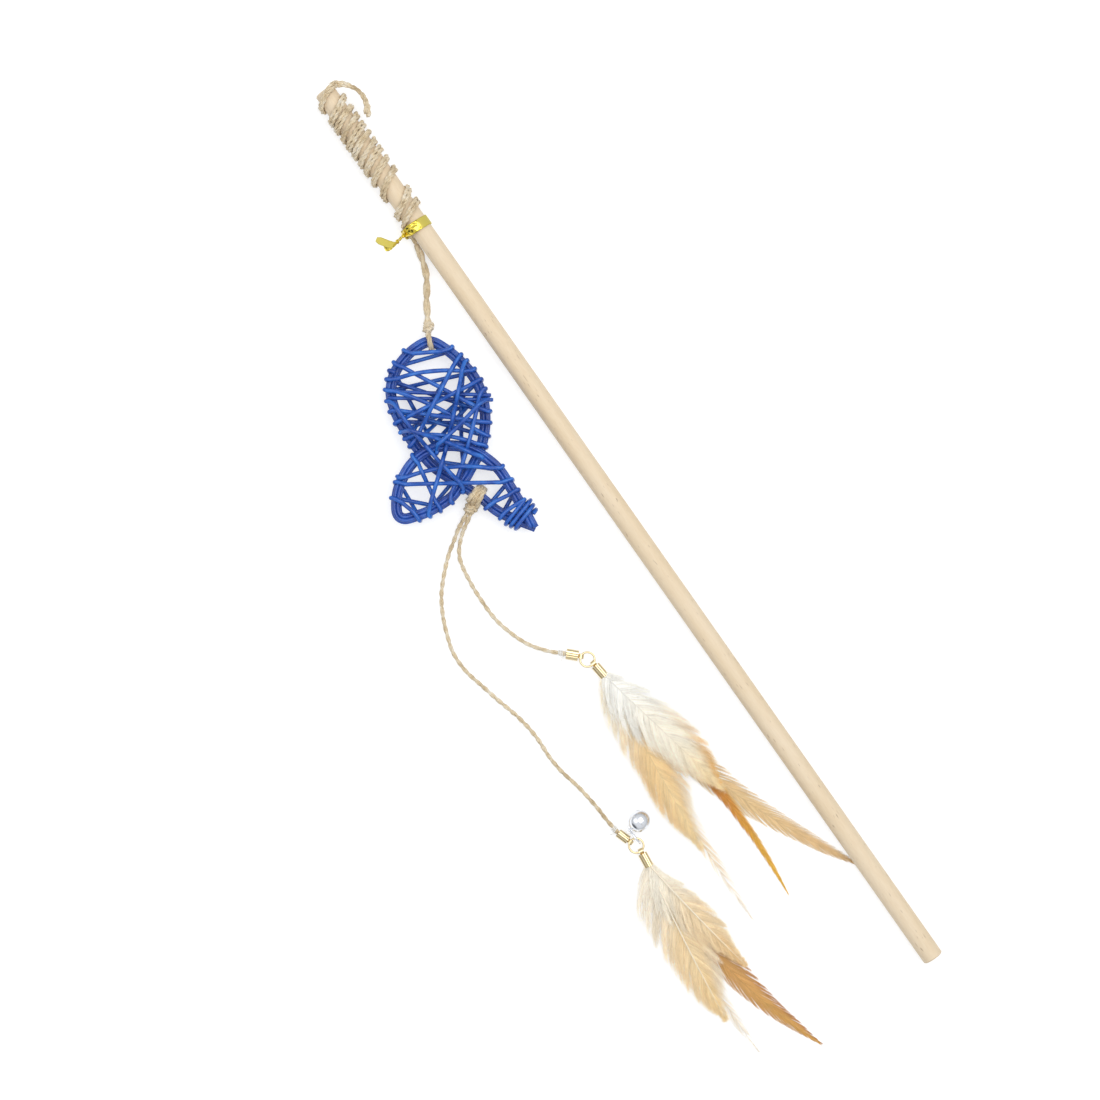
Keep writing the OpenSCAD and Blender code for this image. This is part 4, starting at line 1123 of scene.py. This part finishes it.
@dataclass
class TwistTie:
    """Foil strip round the stick and the twine, twisted at the side, with two spread tails."""

    material: Material
    stick: StickFrame
    run: float = 61.7 * MM
    width: float = 4.0 * MM
    thick: float = 0.25 * MM
    inner_r: float = 5.5 * MM
    shift: float = 1.35 * MM
    turn: float = -30.0
    neck_l: float = 4.2 * MM
    neck_r: float = 0.62 * MM
    neck_lean: float = 0.19
    neck_turns: float = 1.4
    height: float = 2.0 * MM
    tail_l: float = 8.2 * MM
    pinch_at: float = 0.35
    pinch_half: float = 0.6
    crease_end: float = 1.75
    dent: float = 0.34 * MM
    facet: int = 9
    stations: int = 60
    # What tail takes for each of the two
    tails: tuple[tuple[float, ...], ...] = ((-56.0, 1.0, 1.3 * MM, 0.25, 0.95), (-9.0, 0.64, -0.2 * MM, 0.6, 0.1))

    def sheet(self, net: Net, middle: Array, across: Array, out: Array, smooth: Array, dents: Any = 0.0) -> None:
        """Adds a thin strip: its middle line, half widths across it, and half its thickness along its normal.

        Args:
            net: The net to add to.
            middle: Stations by three, in the stick's frame.
            across: Half width vector at each station.
            out: Normal at each station.
            smooth: How smooth it is at each station, from 0, creased, to 1.
            dents: How far each place stands out along the normal, as stations by places across.
        """
        middle, across, out = self.stick.out(middle), self.stick.turned(across), self.stick.turned(out)
        share = np.linspace(-1, 1, self.facet)[:, None]
        stand = np.broadcast_to(dents, (len(middle), self.facet))[..., None] * out[:, None]
        half = out[:, None] * self.thick / 2
        top = middle[:, None] + share * across[:, None] + half + stand
        low = middle[:, None] - share * across[:, None] - half + stand[:, ::-1]
        net.grids(np.concatenate([top, low], axis=1)[None], True, smooth[:, None, None])

    def dents(self, rows: int) -> Array:
        """Gives the facets of crumpled foil: random heights on a coarse net, blended straight between its points.

        Args:
            rows: Stations along the strip.

        Returns:
            Heights from -1 to 1, as stations by places across.
        """
        rough = np.random.default_rng(5).uniform(-1, 1, (rows // self.facet + 2, 5))
        row, col = np.arange(rows) / self.facet, np.linspace(0, 4, self.facet)
        i, j = row.astype(int), np.minimum(col.astype(int), 3)
        u, v = (row - i)[:, None], col - j
        blended = rough[i] * (1 - u) + rough[i + 1] * u
        return blended[:, j] * (1 - v) + blended[:, j + 1] * v

    def build(self) -> None:
        """Makes the strip: a band (shift + r cos a, shift + r sin a), pinched at its neck, then neck and tails."""
        net = Net()
        a = np.linspace(0, 2 * np.pi, 220)
        pinch = np.clip(1.15 - np.abs(np.angle(np.exp(1j * (a - self.pinch_at)))) / self.pinch_half, 0, 1)
        creased = ease((a + 0.1) / 0.3) * (1 - ease((a - self.crease_end) / 0.25))
        shift = way(self.turn) * self.shift
        r = self.inner_r + self.thick / 2
        sway = 0.35 * MM * np.sin(a - 0.6) + pinch * 0.2 * MM * np.sin(a * 9)
        middle = np.stack([self.run + sway, shift[0] + r * np.cos(a), shift[1] + r * np.sin(a)], axis=1)
        across = np.stack([self.width / 2 * (1 - 0.4 * pinch), 0 * a, pinch * 0.5 * MM * np.sin(a * 8)], axis=1)
        out = np.stack([0 * a, np.cos(a), np.sin(a)], axis=1)
        self.sheet(net, middle, across, out, 1 - np.maximum(pinch, creased),
                   self.dent * creased[:, None] * self.dents(len(a)))
        reach = self.inner_r + self.shift * math.cos(math.radians(self.turn)) - 0.3 * MM
        for phase in (0.0, np.pi):
            self.neck(net, reach, phase)
        for tail in self.tails:
            self.tail(net, reach, *tail)
        net.piece("Foil_strip", self.material, "twist_tie")

    def neck(self, net: Net, reach: float, phase: float) -> None:
        """Adds one of the two ribbons that twist round each other: centre + 0.4 r (cos a, sin a), flat to the other.

        Args:
            net: The net to add to.
            reach: How far beside the stick's middle line it starts.
            phase: Its turn at the start, in radians.
        """
        t = np.linspace(0, 1, self.stations)
        a = 2 * np.pi * self.neck_turns * t + phase
        x = self.run + self.neck_lean * self.neck_l * t + 0.4 * self.neck_r * np.cos(a)
        middle = np.stack([x, reach + self.neck_l * t, self.height + 0.4 * self.neck_r * np.sin(a)], axis=1)
        wide = self.neck_r * (0.75 + 0.9 * (2 * t - 1) ** 2)
        across = np.stack([np.sin(a), 0 * a, -np.cos(a)], axis=1) * wide[:, None]
        self.sheet(net, middle, across, np.stack([np.cos(a), 0 * a, np.sin(a)], axis=1), 0 * t)

    def tail(self, net: Net, reach: float, lean: float, share: float, lift: float, roll: float, smooth: float) -> None:
        """Adds a leaf-shaped tail, which turns aside as it leaves the neck and ripples where it is creased.

        Args:
            net: The net to add to.
            reach: How far beside the stick's middle line the neck starts.
            lean: Its angle to the neck, in degrees.
            share: Its length as a share of tail_l.
            lift: How far it rises.
            roll: Its turn about its own run, in radians.
            smooth: How smooth it is, from 0, creased, to 1.
        """
        t = np.linspace(0, 1, self.stations)
        turned = math.radians(lean) * ease(t / 0.5)
        step = share * self.tail_l / (len(t) - 1)
        x = self.run + self.neck_lean * self.neck_l + np.cumsum(step * np.sin(turned))
        y = reach + 0.95 * self.neck_l + np.cumsum(step * np.cos(turned))
        z = self.height + lift * t + (1 - smooth) * 0.35 * MM * np.sin(11 * t)
        half = self.width / 2 * 0.72 * np.minimum(0.25 + 3.2 * t, np.minimum(1.0, 2.9 - 2.3 * t))
        rolled = roll * (1 - 0.4 * t) + (1 - smooth) * 0.7 * np.sin(6 * t)
        aside = np.stack([np.cos(turned), -np.sin(turned), 0 * t], axis=1)
        ahead = np.stack([np.sin(turned), np.cos(turned), 0 * t], axis=1)
        across = around(rolled, aside, UP) * half[:, None]
        self.sheet(net, np.stack([x, y, z], axis=1), across, unit(np.cross(across, ahead)), np.full(len(t), smooth))


# Feathers


class Kind(Enum):
    """What a feather is: a hackle with a pointed web, or down with long loose barbs."""

    HACKLE = "hackle"
    DOWN = "down"


@dataclass(frozen=True)
class FeatherShape:
    """One feather's place in its cap and its size: shares of the length and width units, and angles in degrees.

    Slot and top give its level in the cap and, in millimetres, past it. Skew widens its left web, fullness is a share
    of the usual barbs, shaft_rise lifts and bleaches the quill, in millimetres, and taper thins the vane's ends.
    """

    node: str
    kind: Kind
    side_share: float
    length_share: float
    width_share: float
    turn: float
    bow: float
    slot: int
    top: float
    colours: tuple[str, str, str, str]
    seed: int
    skew: float = 0.0
    fullness: float = 1.0
    shaft_rise: float = 0.0
    taper: float = 1.0


@dataclass
class Feather:
    """A feather: a tapering shaft, barbs on both sides, and barbules on the barbs of its downy part."""

    shape: FeatherShape
    root: Array
    material: Material
    length_unit: float = 100.0 * MM
    width_unit: float = 10.0 * MM
    slot_z: float = 1.04 * MM
    slot_step: float = 0.38 * MM
    shaft_r: float = 0.3 * MM
    tip_r: float = 0.03 * MM
    in_cap: float = 2.5 * MM
    part_run: float = 12.0 * MM
    proud: float = 1.25
    longest: float = 21.0 * MM
    shortest: float = 0.8 * MM
    shaft_shade: float = 0.88
    quill_colour: str = "FBEFD8"
    lock_l: float = 3.8 * MM
    floor_gap: float = 0.3 * MM
    down_per_mm: float = 42.0
    hackle_per_mm: float = 34.0
    barbules_per_barb: float = 5.0
    barb_w: float = 0.1 * MM
    barbule_w: float = 0.035 * MM
    barbule_l: tuple[float, float] = (0.6, 1.7)
    # Barbs' angles to the shaft, in degrees: at the foot of a feather, how far they fall, and what fluff adds
    down_lean: tuple[float, float] = (56.0, 36.0)
    hackle_lean: tuple[float, float, float] = (27.0, 17.0, 12.0)
    least_lean: float = 6.0
    fluff_run: tuple[float, float] = (0.08, 0.34)
    down_shares: Shares = (
        (0, 0.16), (0.07, 0.32), (0.16, 0.62), (0.28, 0.88), (0.42, 1), (0.6, 0.93), (0.72, 0.8), (0.82, 0.58),
        (0.92, 0.32), (1, 0.06))
    hackle_shares: Shares = ((0, 0.2), (0.1, 0.6), (0.3, 0.95), (0.5, 1), (0.72, 0.72), (0.88, 0.42), (1, 0.08))

    def __post_init__(self) -> None:
        """Works out the feather's length, its kind and the frame of its shaft."""
        self.length = self.shape.length_share * self.length_unit
        self.down = self.shape.kind is Kind.DOWN
        self.floor = FloorFrame(self.root, HANG_TURN + self.shape.turn)

    def half_width(self, u: Array) -> Array:
        """Half width of the vane: shares of its widest, joined by straight runs, for down or a lance-shaped hackle."""
        places, widths = np.array(self.down_shares if self.down else self.hackle_shares).T
        return self.shape.width_share * self.width_unit * self.proud * np.interp(u, places, widths) ** self.shape.taper

    def barb_lengths(self, u: Array, gain: Array, bend: Array) -> Array:
        """Lengths that end each barb on the vane's outline: length x sin = half width where the barb ends.

        Args:
            u: Where each barb starts, as a share of the feather.
            gain: How far past the outline it reaches.
            bend: Its angle to the shaft at places along it.

        Returns:
            The lengths, found by stepping half way to the answer a few times.
        """
        along, out = np.cos(bend).mean(axis=1), np.maximum(np.sin(bend).mean(axis=1), 0.06)
        length = np.full_like(u, 5.0 * MM)
        for _ in range(24):
            aim = self.half_width(u + length * along / self.length) * gain / out
            length = 0.5 * (length + np.clip(aim, self.shortest, self.longest))
        return length

    def place(self, x: Array, y: Array, z: Array) -> Array:
        """Takes straight places to the part's frame: the shaft bows by bow x (1 - x / length), and y is square to it.

        Args:
            x: Along the shaft.
            y: To its left.
            z: Above its middle.

        Returns:
            Points in the part's frame, those that would lie in the floor pressed flat above it.
        """
        u = x / self.length
        slope = np.arctan(self.shape.bow * (1 - 2 * np.clip(u, 0, 1)))
        low = self.slot_z + self.shape.slot * self.slot_step
        height = low + (self.shape.top * MM - low) * ease((x - self.in_cap) / (self.part_run - self.in_cap)) + z
        near = self.floor_gap * np.exp(np.minimum(height - self.floor_gap, 0) / self.floor_gap)
        return self.floor.out(np.stack([
            x - y * np.sin(slope), self.shape.bow * x * (1 - u) + y * np.cos(slope),
            np.where(height < self.floor_gap, near, height)], axis=-1))

    def shade(self, u: Array, t: Any = 0.0) -> Array:
        """Colour of the vane: base, middle and tip blended along it, and its edge's colour out along each barb.

        Args:
            u: Places along the feather, as shares.
            t: Places out along the barbs, as shares.

        Returns:
            Linear colours.
        """
        base, middle, tip, edge = (np.array(linear(c)[:3]) for c in self.shape.colours)
        u, t = np.clip(u, 0, 1)[..., None], np.broadcast_to(t, u.shape)[..., None]
        lower = base + (middle - base) * ease((u - 0.1) / 0.4)
        along = lower + (tip - lower) * ease((u - 0.5) / 0.45)
        return along + (edge - along) * ease((t - 0.35) / 0.65) * ease((u - 0.15) / 0.5)

    def shaft(self, net: Net) -> None:
        """Adds the shaft, which tapers to a hair at the tip.

        Args:
            net: The net to add to.
        """
        x = np.linspace(0, 0.99 * self.length, 90)
        radius = self.shaft_r * (1 - 0.93 * x / self.length) ** 0.8
        rise = self.shape.shaft_rise * MM * ease(x / self.part_run - 0.3)
        tone = self.shade(x / self.length) * self.shaft_shade
        if self.shape.shaft_rise > 0:
            radius, tone = 1.4 * radius, np.array([linear(self.quill_colour)[:3]])
        net.tube(self.place(x, 0 * x, 0.15 * MM + rise), np.maximum(radius, self.tip_r), 6, tone[:, None])

    def lock_gains(self, lock: Array, within: Array, side: Array, fluff: Array) -> Array:
        """How far the locks let their barbs reach past the outline: uneven from lock to lock, pointed within each.

        Args:
            lock: Number of each barb's lock.
            within: Where the barb stands in it, from 0 to 1.
            side: Its side of the shaft, -1 or 1.
            fluff: How downy it is.

        Returns:
            Factors on the outline's width.
        """
        gain = 1 + (0.06 + 0.13 * fluff) * np.sin(lock * 12.9898 + side * 4.1)
        return gain * (0.94 - 0.14 * fluff + (0.08 + 0.3 * fluff) * (1 - np.abs(2 * within - 1)))

    def barbs(self, net: Net, rng: Draws) -> None:
        """Adds the barbs: each leaves the shaft at an angle that falls towards the tip, bends forward, and leans in
        with its neighbours to a pointed lock, so that the edge of the vane is ragged.

        Args:
            net: The net to add to.
            rng: Source of their small differences.
        """
        many = int(self.length / MM * (self.down_per_mm if self.down else self.hackle_per_mm) * self.shape.fullness)
        u = np.sort(rng.uniform(0.015, 1.0, many))
        side = rng.choice([-1.0, 1.0], many)
        fluff = np.ones(many) if self.down else np.clip(1 - (u - self.fluff_run[0]) / self.fluff_run[1], 0, 1)
        # Its lock, and where it stands in it
        place = u * self.length / self.lock_l + 0.4 * side + 0.5 * np.sin(u * 17 + side) + rng.normal(0, 0.07, many)
        lock = np.floor(place)
        within = place - lock
        gain = self.lock_gains(lock, within, side, fluff) * rng.uniform(0.9, 1.05, many) * (1 + self.shape.skew * side)
        # Its angle to the shaft, in degrees at its foot, and then along it
        (high, fall), (first, less, more) = self.down_lean, self.hackle_lean
        foot = np.where(self.down, high - fall * u**0.6, first - less * u + more * fluff)
        foot = foot + rng.normal(0, 1.0 + 1.4 * fluff)
        t = np.linspace(0, 1, 9)
        u, side, fluff = u[:, None], side[:, None], fluff[:, None]
        meet = np.radians((within[:, None] - 0.5) * (12 + 24 * fluff))
        bend = np.radians(np.maximum(foot, self.least_lean))[:, None] * (1.15 - (0.5 + 0.2 * fluff) * t) + meet * t**1.3
        left_over = (1.01 - u) * self.length + (0.6 + 2.4 * fluff * rng.uniform(0.2, 1, (many, 1))) * MM
        step = np.minimum(self.barb_lengths(u[:, 0], gain, bend)[:, None], left_over) / 8
        x = u * self.length + np.cumsum(step * np.cos(bend), axis=1) - step * np.cos(bend[:, :1])
        y = np.cumsum(step * np.sin(bend), axis=1) - step * np.sin(bend[:, :1])
        wave = fluff * rng.uniform(0.1, 0.8, (many, 1)) * MM * t
        y = side * (y + wave * np.sin(5 * t + rng.uniform(0, 6.3, (many, 1))))
        z = (0.12 + 0.6 * fluff) * MM * t * rng.normal(0, 0.6, (many, 1)) + 0.12 * MM * rng.normal(0, 1, (many, 1))
        width = self.barb_w * (1 - 0.2 * fluff) * (1.12 - t)
        tone = self.shade(np.broadcast_to(u, x.shape), t * np.where(side > 0, 1.0, 0.6))
        # Each lock's own tone, a little lighter or darker than the next, and painted shade on the barbs at its edges,
        # where the gaps between locks would fall in shadow
        streak = 0.05 * np.sin(lock * 78.233 + side[:, 0] * 3.7) - 0.09 * (2 * within - 1) ** 4
        tone = tone * ((1 + fluff[:, 0] * streak) * rng.uniform(0.92, 1.16, many))[:, None, None]
        self.ribbons(net, x, y, z, width, tone, rng)
        if fluff.max() > 0:
            self.barbules(net, np.stack([x, y, z], axis=-1), tone, fluff[:, 0], rng)

    def ribbons(self, net: Net, x: Array, y: Array, z: Array, width: Array, tone: Array, rng: Draws) -> None:
        """Adds narrow ribbons along straight places, each tilted a little about its own run.

        Args:
            net: The net to add to.
            x: Along the shaft, one row a ribbon.
            y: To its left.
            z: Above it.
            width: Half width at each place.
            tone: Colour at each place.
            rng: Source of the tilts.
        """
        dx, dy = np.gradient(x, axis=1), np.gradient(y, axis=1)
        tilt = rng.normal(0, 0.32, (len(x), 1))
        flat = np.cos(tilt) * width / np.maximum(np.hypot(dx, dy), 1e-9)
        sx, sy, sz = -dy * flat, dx * flat, np.sin(tilt) * width
        edges = [self.place(x - sx, y - sy, z - sz), self.place(x + sx, y + sy, z + sz)]
        net.grids(np.stack(edges, axis=2), tints=tone[:, :, None])

    def barbules(self, net: Net, barbs: Array, tone: Array, fluff: Array, rng: Draws) -> None:
        """Adds the fine hairs along downy barbs, which make them look soft.

        Args:
            net: The net to add to.
            barbs: Places of each barb along the shaft, to its left and above it.
            tone: Barbs' colours.
            fluff: How downy each barb is.
            rng: Source of their small differences.
        """
        many = int(len(barbs) * self.barbules_per_barb * fluff.mean())
        barb = rng.choice(len(barbs), many, p=fluff / fluff.sum())
        at = rng.uniform(0.05, 0.86, many) * (barbs.shape[1] - 1)
        low = np.floor(at).astype(int)
        before, after = barbs[barb, low], barbs[barb, np.minimum(low + 1, barbs.shape[1] - 1)]
        foot = before + (after - before) * (at - low)[:, None]
        run = np.arctan2(*(after - before).T[1::-1])
        angle = (run + rng.choice([-1, 1], many) * rng.uniform(0.35, 0.95, many))[:, None]
        t = np.linspace(0, 1, 3)
        reach = rng.uniform(*self.barbule_l, (many, 1)) * MM * t
        x, y = foot[:, :1] + reach * np.cos(angle), foot[:, 1:2] + reach * np.sin(angle)
        z = foot[:, 2:] + rng.normal(0, 0.25, (many, 1)) * MM * t
        shade = tone[barb, low][:, None] * np.ones((3, 1)) * rng.uniform(0.95, 1.12, (many, 1, 1))
        self.ribbons(net, x, y, z, self.barbule_w * (1.2 - t), shade, rng)

    def build(self) -> None:
        """Makes the feather."""
        net = Net()
        self.shaft(net)
        self.barbs(net, np.random.default_rng(self.shape.seed))
        net.piece(self.shape.node.capitalize() + "_feather", self.material, self.shape.node)


# Each feather in its cap, lowest first: heights in millimetres, colours of base, middle, tip and edge
SHORT_FEATHERS = (
    FeatherShape("short_tan_hackle", Kind.HACKLE, 0.0, 1.23, 0.46, 53.3, -0.218, 0, 0.5,
                 ("F4EAD4", "E9CB98", "E3C08C", "F4E4CC"), 101, 0.0, 0.4),
    FeatherShape("short_golden_hackle", Kind.HACKLE, -0.06, 1.1, 0.21, 40.3, 0.21, 1, 1.3,
                 ("F2E6CC", "D08A3C", "E8B646", "F0CC80"), 102, 0.0, 0.5),
    FeatherShape("short_pale_hackle", Kind.HACKLE, 0.06, 1.1, 0.4, 31.4, -0.06, 2, 2.1,
                 ("F8F0DE", "EBD0A0", "F8EFE0", "FCF8F0"), 103, 0.3, 0.09),
    FeatherShape("short_tan_down", Kind.DOWN, 0.1, 0.76, 0.7, 29.5, 0.0, 3, 3.4,
                 ("FFF6E2", "F6D8A2", "F8E0AE", "FFF6E4"), 104, -0.05),
    FeatherShape("short_white_down", Kind.DOWN, 0.0, 0.63, 0.8, 46.5, 0.0, 4, 4.9,
                 ("FFFDF6", "FFF8E6", "F8E2B4", "F0C478"), 105),
)
LONG_FEATHERS = (
    FeatherShape("long_brown_hackle", Kind.HACKLE, -0.06, 0.955, 0.46, 43.6, -0.23, 0, 0.5,
                 ("F4E9D2", "D9A866", "D8A558", "C48852"), 111, 0.1, 0.5),
    FeatherShape("long_quill_hackle", Kind.HACKLE, 0.03, 0.84, 0.4, 30.4, -0.11, 1, 1.3,
                 ("FAF2E2", "EFDCBA", "F8F0E2", "FCF8F0"), 112, 0.1, 0.1),
    FeatherShape("long_tan_down", Kind.DOWN, 0.08, 0.66, 0.86, 26.5, -0.05, 2, 2.6,
                 ("FFF6E4", "FAE3B8", "F8DEAA", "FFF4E0"), 113, -0.15, 1.0, 2.0),
    FeatherShape("long_cream_down", Kind.DOWN, -0.06, 0.54, 0.64, 44.0, -0.03, 3, 4.2,
                 ("FFF8E8", "FCE6BE", "F4D49C", "FCEAC6"), 114, -0.2, 1.0, 1.6, 1.6),
)


@dataclass
class FeatherBunch:
    """The feathers of one drop, which leave their cap one above another and spread."""

    side: str
    cap_turn: float
    shapes: tuple[FeatherShape, ...]
    hackles: Material
    down: Material
    neck_l: float = 1.0 * MM
    cap_l: float = 5.5 * MM
    cap_w: float = 3.6 * MM
    quill_in: float = 2.5 * MM

    def build(self) -> None:
        """Makes each feather from its root in the cap."""
        cap = FloorFrame(joint_place(f"{self.side}_feather_fold") * (1, 1, 0), HANG_TURN + self.cap_turn)
        for shape in self.shapes:
            root = cap.out((self.neck_l + self.cap_l - self.quill_in, shape.side_share * self.cap_w, 0.0))
            Feather(shape, root, self.down if shape.kind is Kind.DOWN else self.hackles).build()


# Thread and metal


@dataclass
class ThreadTurns:
    """Clear thread wound round each drop's twine close behind its crimp, with a short cut end."""

    material: Material
    thread_d: float = 0.42 * MM
    turn_r: float = 1.06 * MM
    pitch: float = 0.6 * MM
    turns: int = 3
    lean: float = 0.35 * MM
    back: float = 5.0 * MM
    end_l: float = 2.0 * MM

    def build(self, side: str, route: Route) -> None:
        """Winds the turns: centre + r (cos a, sin a) across the twine, leaning over it, and then the loose end.

        Args:
            side: Which drop.
            route: The drop's route in the drops' frame.
        """
        twine = even_curve(DROPS.out(route))
        at = len(twine) - 1 - int(self.back / (0.35 * MM))
        along = unit(twine[at + 1] - twine[at - 1])
        across = unit(np.cross(along, UP))
        a = np.linspace(0, 2 * np.pi * self.turns, 24 * self.turns)
        shift = self.pitch * (a / (2 * np.pi) - self.turns / 2) + self.lean * np.cos(a)
        path = twine[at] + shift[:, None] * along + self.turn_r * around(a, across, 0.85 * UP)
        end = path[-1] + np.linspace(0.2, 1, 5)[:, None] * self.end_l * unit(across - 0.5 * along)
        path = even_curve(np.concatenate([path, end]), 0.2 * MM)
        path[:, 2] = np.maximum(path[:, 2], 0.55 * self.thread_d)
        net = Net()
        net.tube(path, self.thread_d / 2, 7)
        net.piece(f"{side.capitalize()}_thread_turns", self.material, f"{side}_crimp", replaces=False)


@dataclass
class Fittings:
    """Crimps, caps, rings and the bell, which keep their solids, and the bell's rolled seam."""

    gold: Material
    nickel: Material
    bell_turn: float = -48.7
    bell_r: float = 4.3 * MM
    seam_r: float = 0.22 * MM

    def build(self) -> None:
        """Dresses the solids and adds the seam: middle + r (cos a side + sin a up), round the bell's equator."""
        dress(self.gold, "short_crimp", "long_crimp", "short_feather_cap", "long_feather_cap", "short_jump_ring",
              "long_jump_ring")
        dress(self.nickel, "bell_ring", "bell_shank_shell", "bell_slit_shell", "bell_pellet")
        # The bell's centre is above the pellet, which rests at its lowest point
        middle = np.mean(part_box("bell_pellet"), axis=0) * (1, 1, 0) + self.bell_r * UP
        side = np.cross(way(HANG_TURN + self.bell_turn), UP)
        path = middle + (self.bell_r - 0.4 * self.seam_r) * around(np.linspace(0, 2 * np.pi, 97), side, UP)
        path[:, 2] = np.maximum(path[:, 2], self.seam_r)
        net = Net()
        net.tube(path, self.seam_r, 8)
        net.piece("Bell_seam", self.nickel, "bell_shank_shell", replaces=False)


# Studio


@dataclass
class Studio:
    """A plain white floor, soft light from the upper right of the picture, and a camera straight above."""

    middle: tuple[float, float, float] = (9.16 * MM, -7.0 * MM, 0.0)
    up: tuple[float, float] = (0.818, -0.575)
    height: float = 1.16
    lens_mm: float = 100.0
    floor_half: float = 3.0
    floor_z: float = -0.02 * MM
    sky_strength: float = 0.74
    # Name, place in the picture's directions, size and watts of each lamp
    lamps: tuple[tuple[Any, ...], ...] = (
        ("Key", (0.32, 0.24, 1.3), 1.0, 8.6), ("Fill", (-0.9, 0.2, 1.2), 1.2, 3.0))
    flag_way: tuple[float, float, float] = (-0.172, 0.985, 0.0)
    flag_colour: str = "454A50"
    sky_shares: Stops = (
        (0.0, "E4E4E4"), (0.5, "D6D8DA"), (0.58, "C6C9CC"), (0.72, "E2E4E7"), (1.0, "F1F3F6"))

    def stand(self, name: str, data: bpy.types.ID, place: Sequence[float], axes: Sequence[Array]) -> Piece:
        """Adds an object.

        Args:
            name: Its name.
            data: Its camera, lamp or mesh.
            place: Where it stands.
            axes: Directions of its x, y and z.

        Returns:
            The new object.
        """
        thing = bpy.data.objects.new(name, data)
        bpy.context.scene.collection.objects.link(thing)
        turn = Matrix(np.transpose(axes).tolist())
        thing.matrix_world = Matrix.Translation(list(place)) @ turn.to_4x4()
        return thing

    def camera(self, right: Array, up: Array) -> None:
        """Places the camera: it looks straight down, and its up is the photo's up.

        Args:
            right: The picture's right.
            up: The picture's up.
        """
        data = bpy.data.cameras.new("Camera")
        data.lens = self.lens_mm
        data.sensor_width = 36.0
        data.clip_start = 0.05
        place = (*self.middle[:2], self.height)
        bpy.context.scene.camera = self.stand("Camera", data, place, (right, up, UP))

    def lamp(self, name: str, place: Array, size: float, power: float) -> None:
        """Adds an area lamp that faces the part.

        Args:
            name: The lamp's name.
            place: Where it hangs.
            size: Side of its square.
            power: Its power in watts.
        """
        data = bpy.data.lights.new(name, "AREA")
        data.size = size
        data.energy = power
        back = unit(place - self.middle)
        side = unit(np.cross(np.array([0.0, 1.0, 0.0]), back))
        self.stand(name, data, place, (side, np.cross(back, side), back))

    def floor(self) -> None:
        """Adds the floor, a square of paper."""
        h, z = self.floor_half, self.floor_z
        mesh = bpy.data.meshes.new("Floor")
        mesh.from_pydata([(-h, -h, z), (h, -h, z), (h, h, z), (-h, h, z)], [], [(0, 1, 2, 3)])
        mesh.materials.append(StudioPaper().build())
        self.stand("Floor", mesh, (0.0, 0.0, 0.0), np.eye(3))

    def sky(self) -> None:
        """Adds the sky: colours by height, with a dark flag at one side that gives metal an edge to mirror."""
        world = emptied(bpy.data.worlds.new("Sky"))
        look = add_node(world, "TexCoord", out="Generated")
        height = add_node(world, "MapRange", {
            "Value": add_node(world, "SeparateXYZ", {0: look}, out="Z"), 1: -1.0, 2: 1.0})
        facing = add_node(world, "VectorMath", {0: look, 1: self.flag_way}, out="Value", operation="DOT_PRODUCT")
        flag = add_node(world, "MapRange", {"Value": facing, 1: 0.84, 2: 0.93})
        open_sky = add_node(world, "ValToRGB", {"Fac": height}, stops=self.sky_shares)
        colour = add_node(world, "Mix", {0: flag, 6: open_sky, 7: self.flag_colour}, **COLOURS)
        strength = add_node(world, "MapRange", {"Value": seen(world), 3: self.sky_strength, 4: 1.0})
        glow = add_node(world, "Background", {"Color": colour, "Strength": strength})
        add_node(world, "OutputWorld", {"Surface": glow})
        bpy.context.scene.world = world

    def build(self) -> None:
        """Makes the camera, the sky, the lamps and the floor."""
        picture = FloorFrame((0.0, 0.0, 0.0), math.degrees(math.atan2(self.up[1], self.up[0])) - 90)
        self.camera(way(picture.degrees), way(picture.degrees + 90))
        self.sky()
        for name, place, size, power in self.lamps:
            self.lamp(name, picture.out(place), size, power)
        self.floor()
        bpy.context.scene.view_settings.view_transform = "Standard"


def main() -> None:
    """Builds the studio, the cords, and then each sub-assembly."""
    logging.basicConfig(level=logging.INFO, format="%(name)s: %(message)s")
    Studio().build()
    jute = Jute().build()
    knots = Knots(jute)
    Cords(jute).build(knots.hanger_loop())
    stick = StickFrame()
    dress(BirchWood().build(), "stick")
    HandleWinding(jute, stick).build()
    TwistTie(Foil().build(), stick).build()
    frame_blues = ((0.34, "183888"), (0.5, "2551AC"), (0.68, "3F76CE"))
    fish = Fish(DyedCane("dyed_frame_cane", frame_blues).build(), DyedCane("dyed_winding_cane").build())
    fish.build()
    knots.tail_knot(fish)
    hackles, down = Plumage("hackle_web").build(), Plumage("downy_web", 0.9, 0.5).build()
    FeatherBunch("short", 40.9, SHORT_FEATHERS, hackles, down).build()
    FeatherBunch("long", 28.7, LONG_FEATHERS, hackles, down).build()
    Fittings(PlatedMetal("pale_gold_plate", "DBC89E", 0.14).build(),
             PlatedMetal("nickel_plate", "EBEDF1", 0.16).build()).build()
    thread = ThreadTurns(ClearThread().build())
    for side, route in (("short", Cords.short_route), ("long", Cords.long_route)):
        thread.build(side, route)


if __name__ == "__main__":
    main()
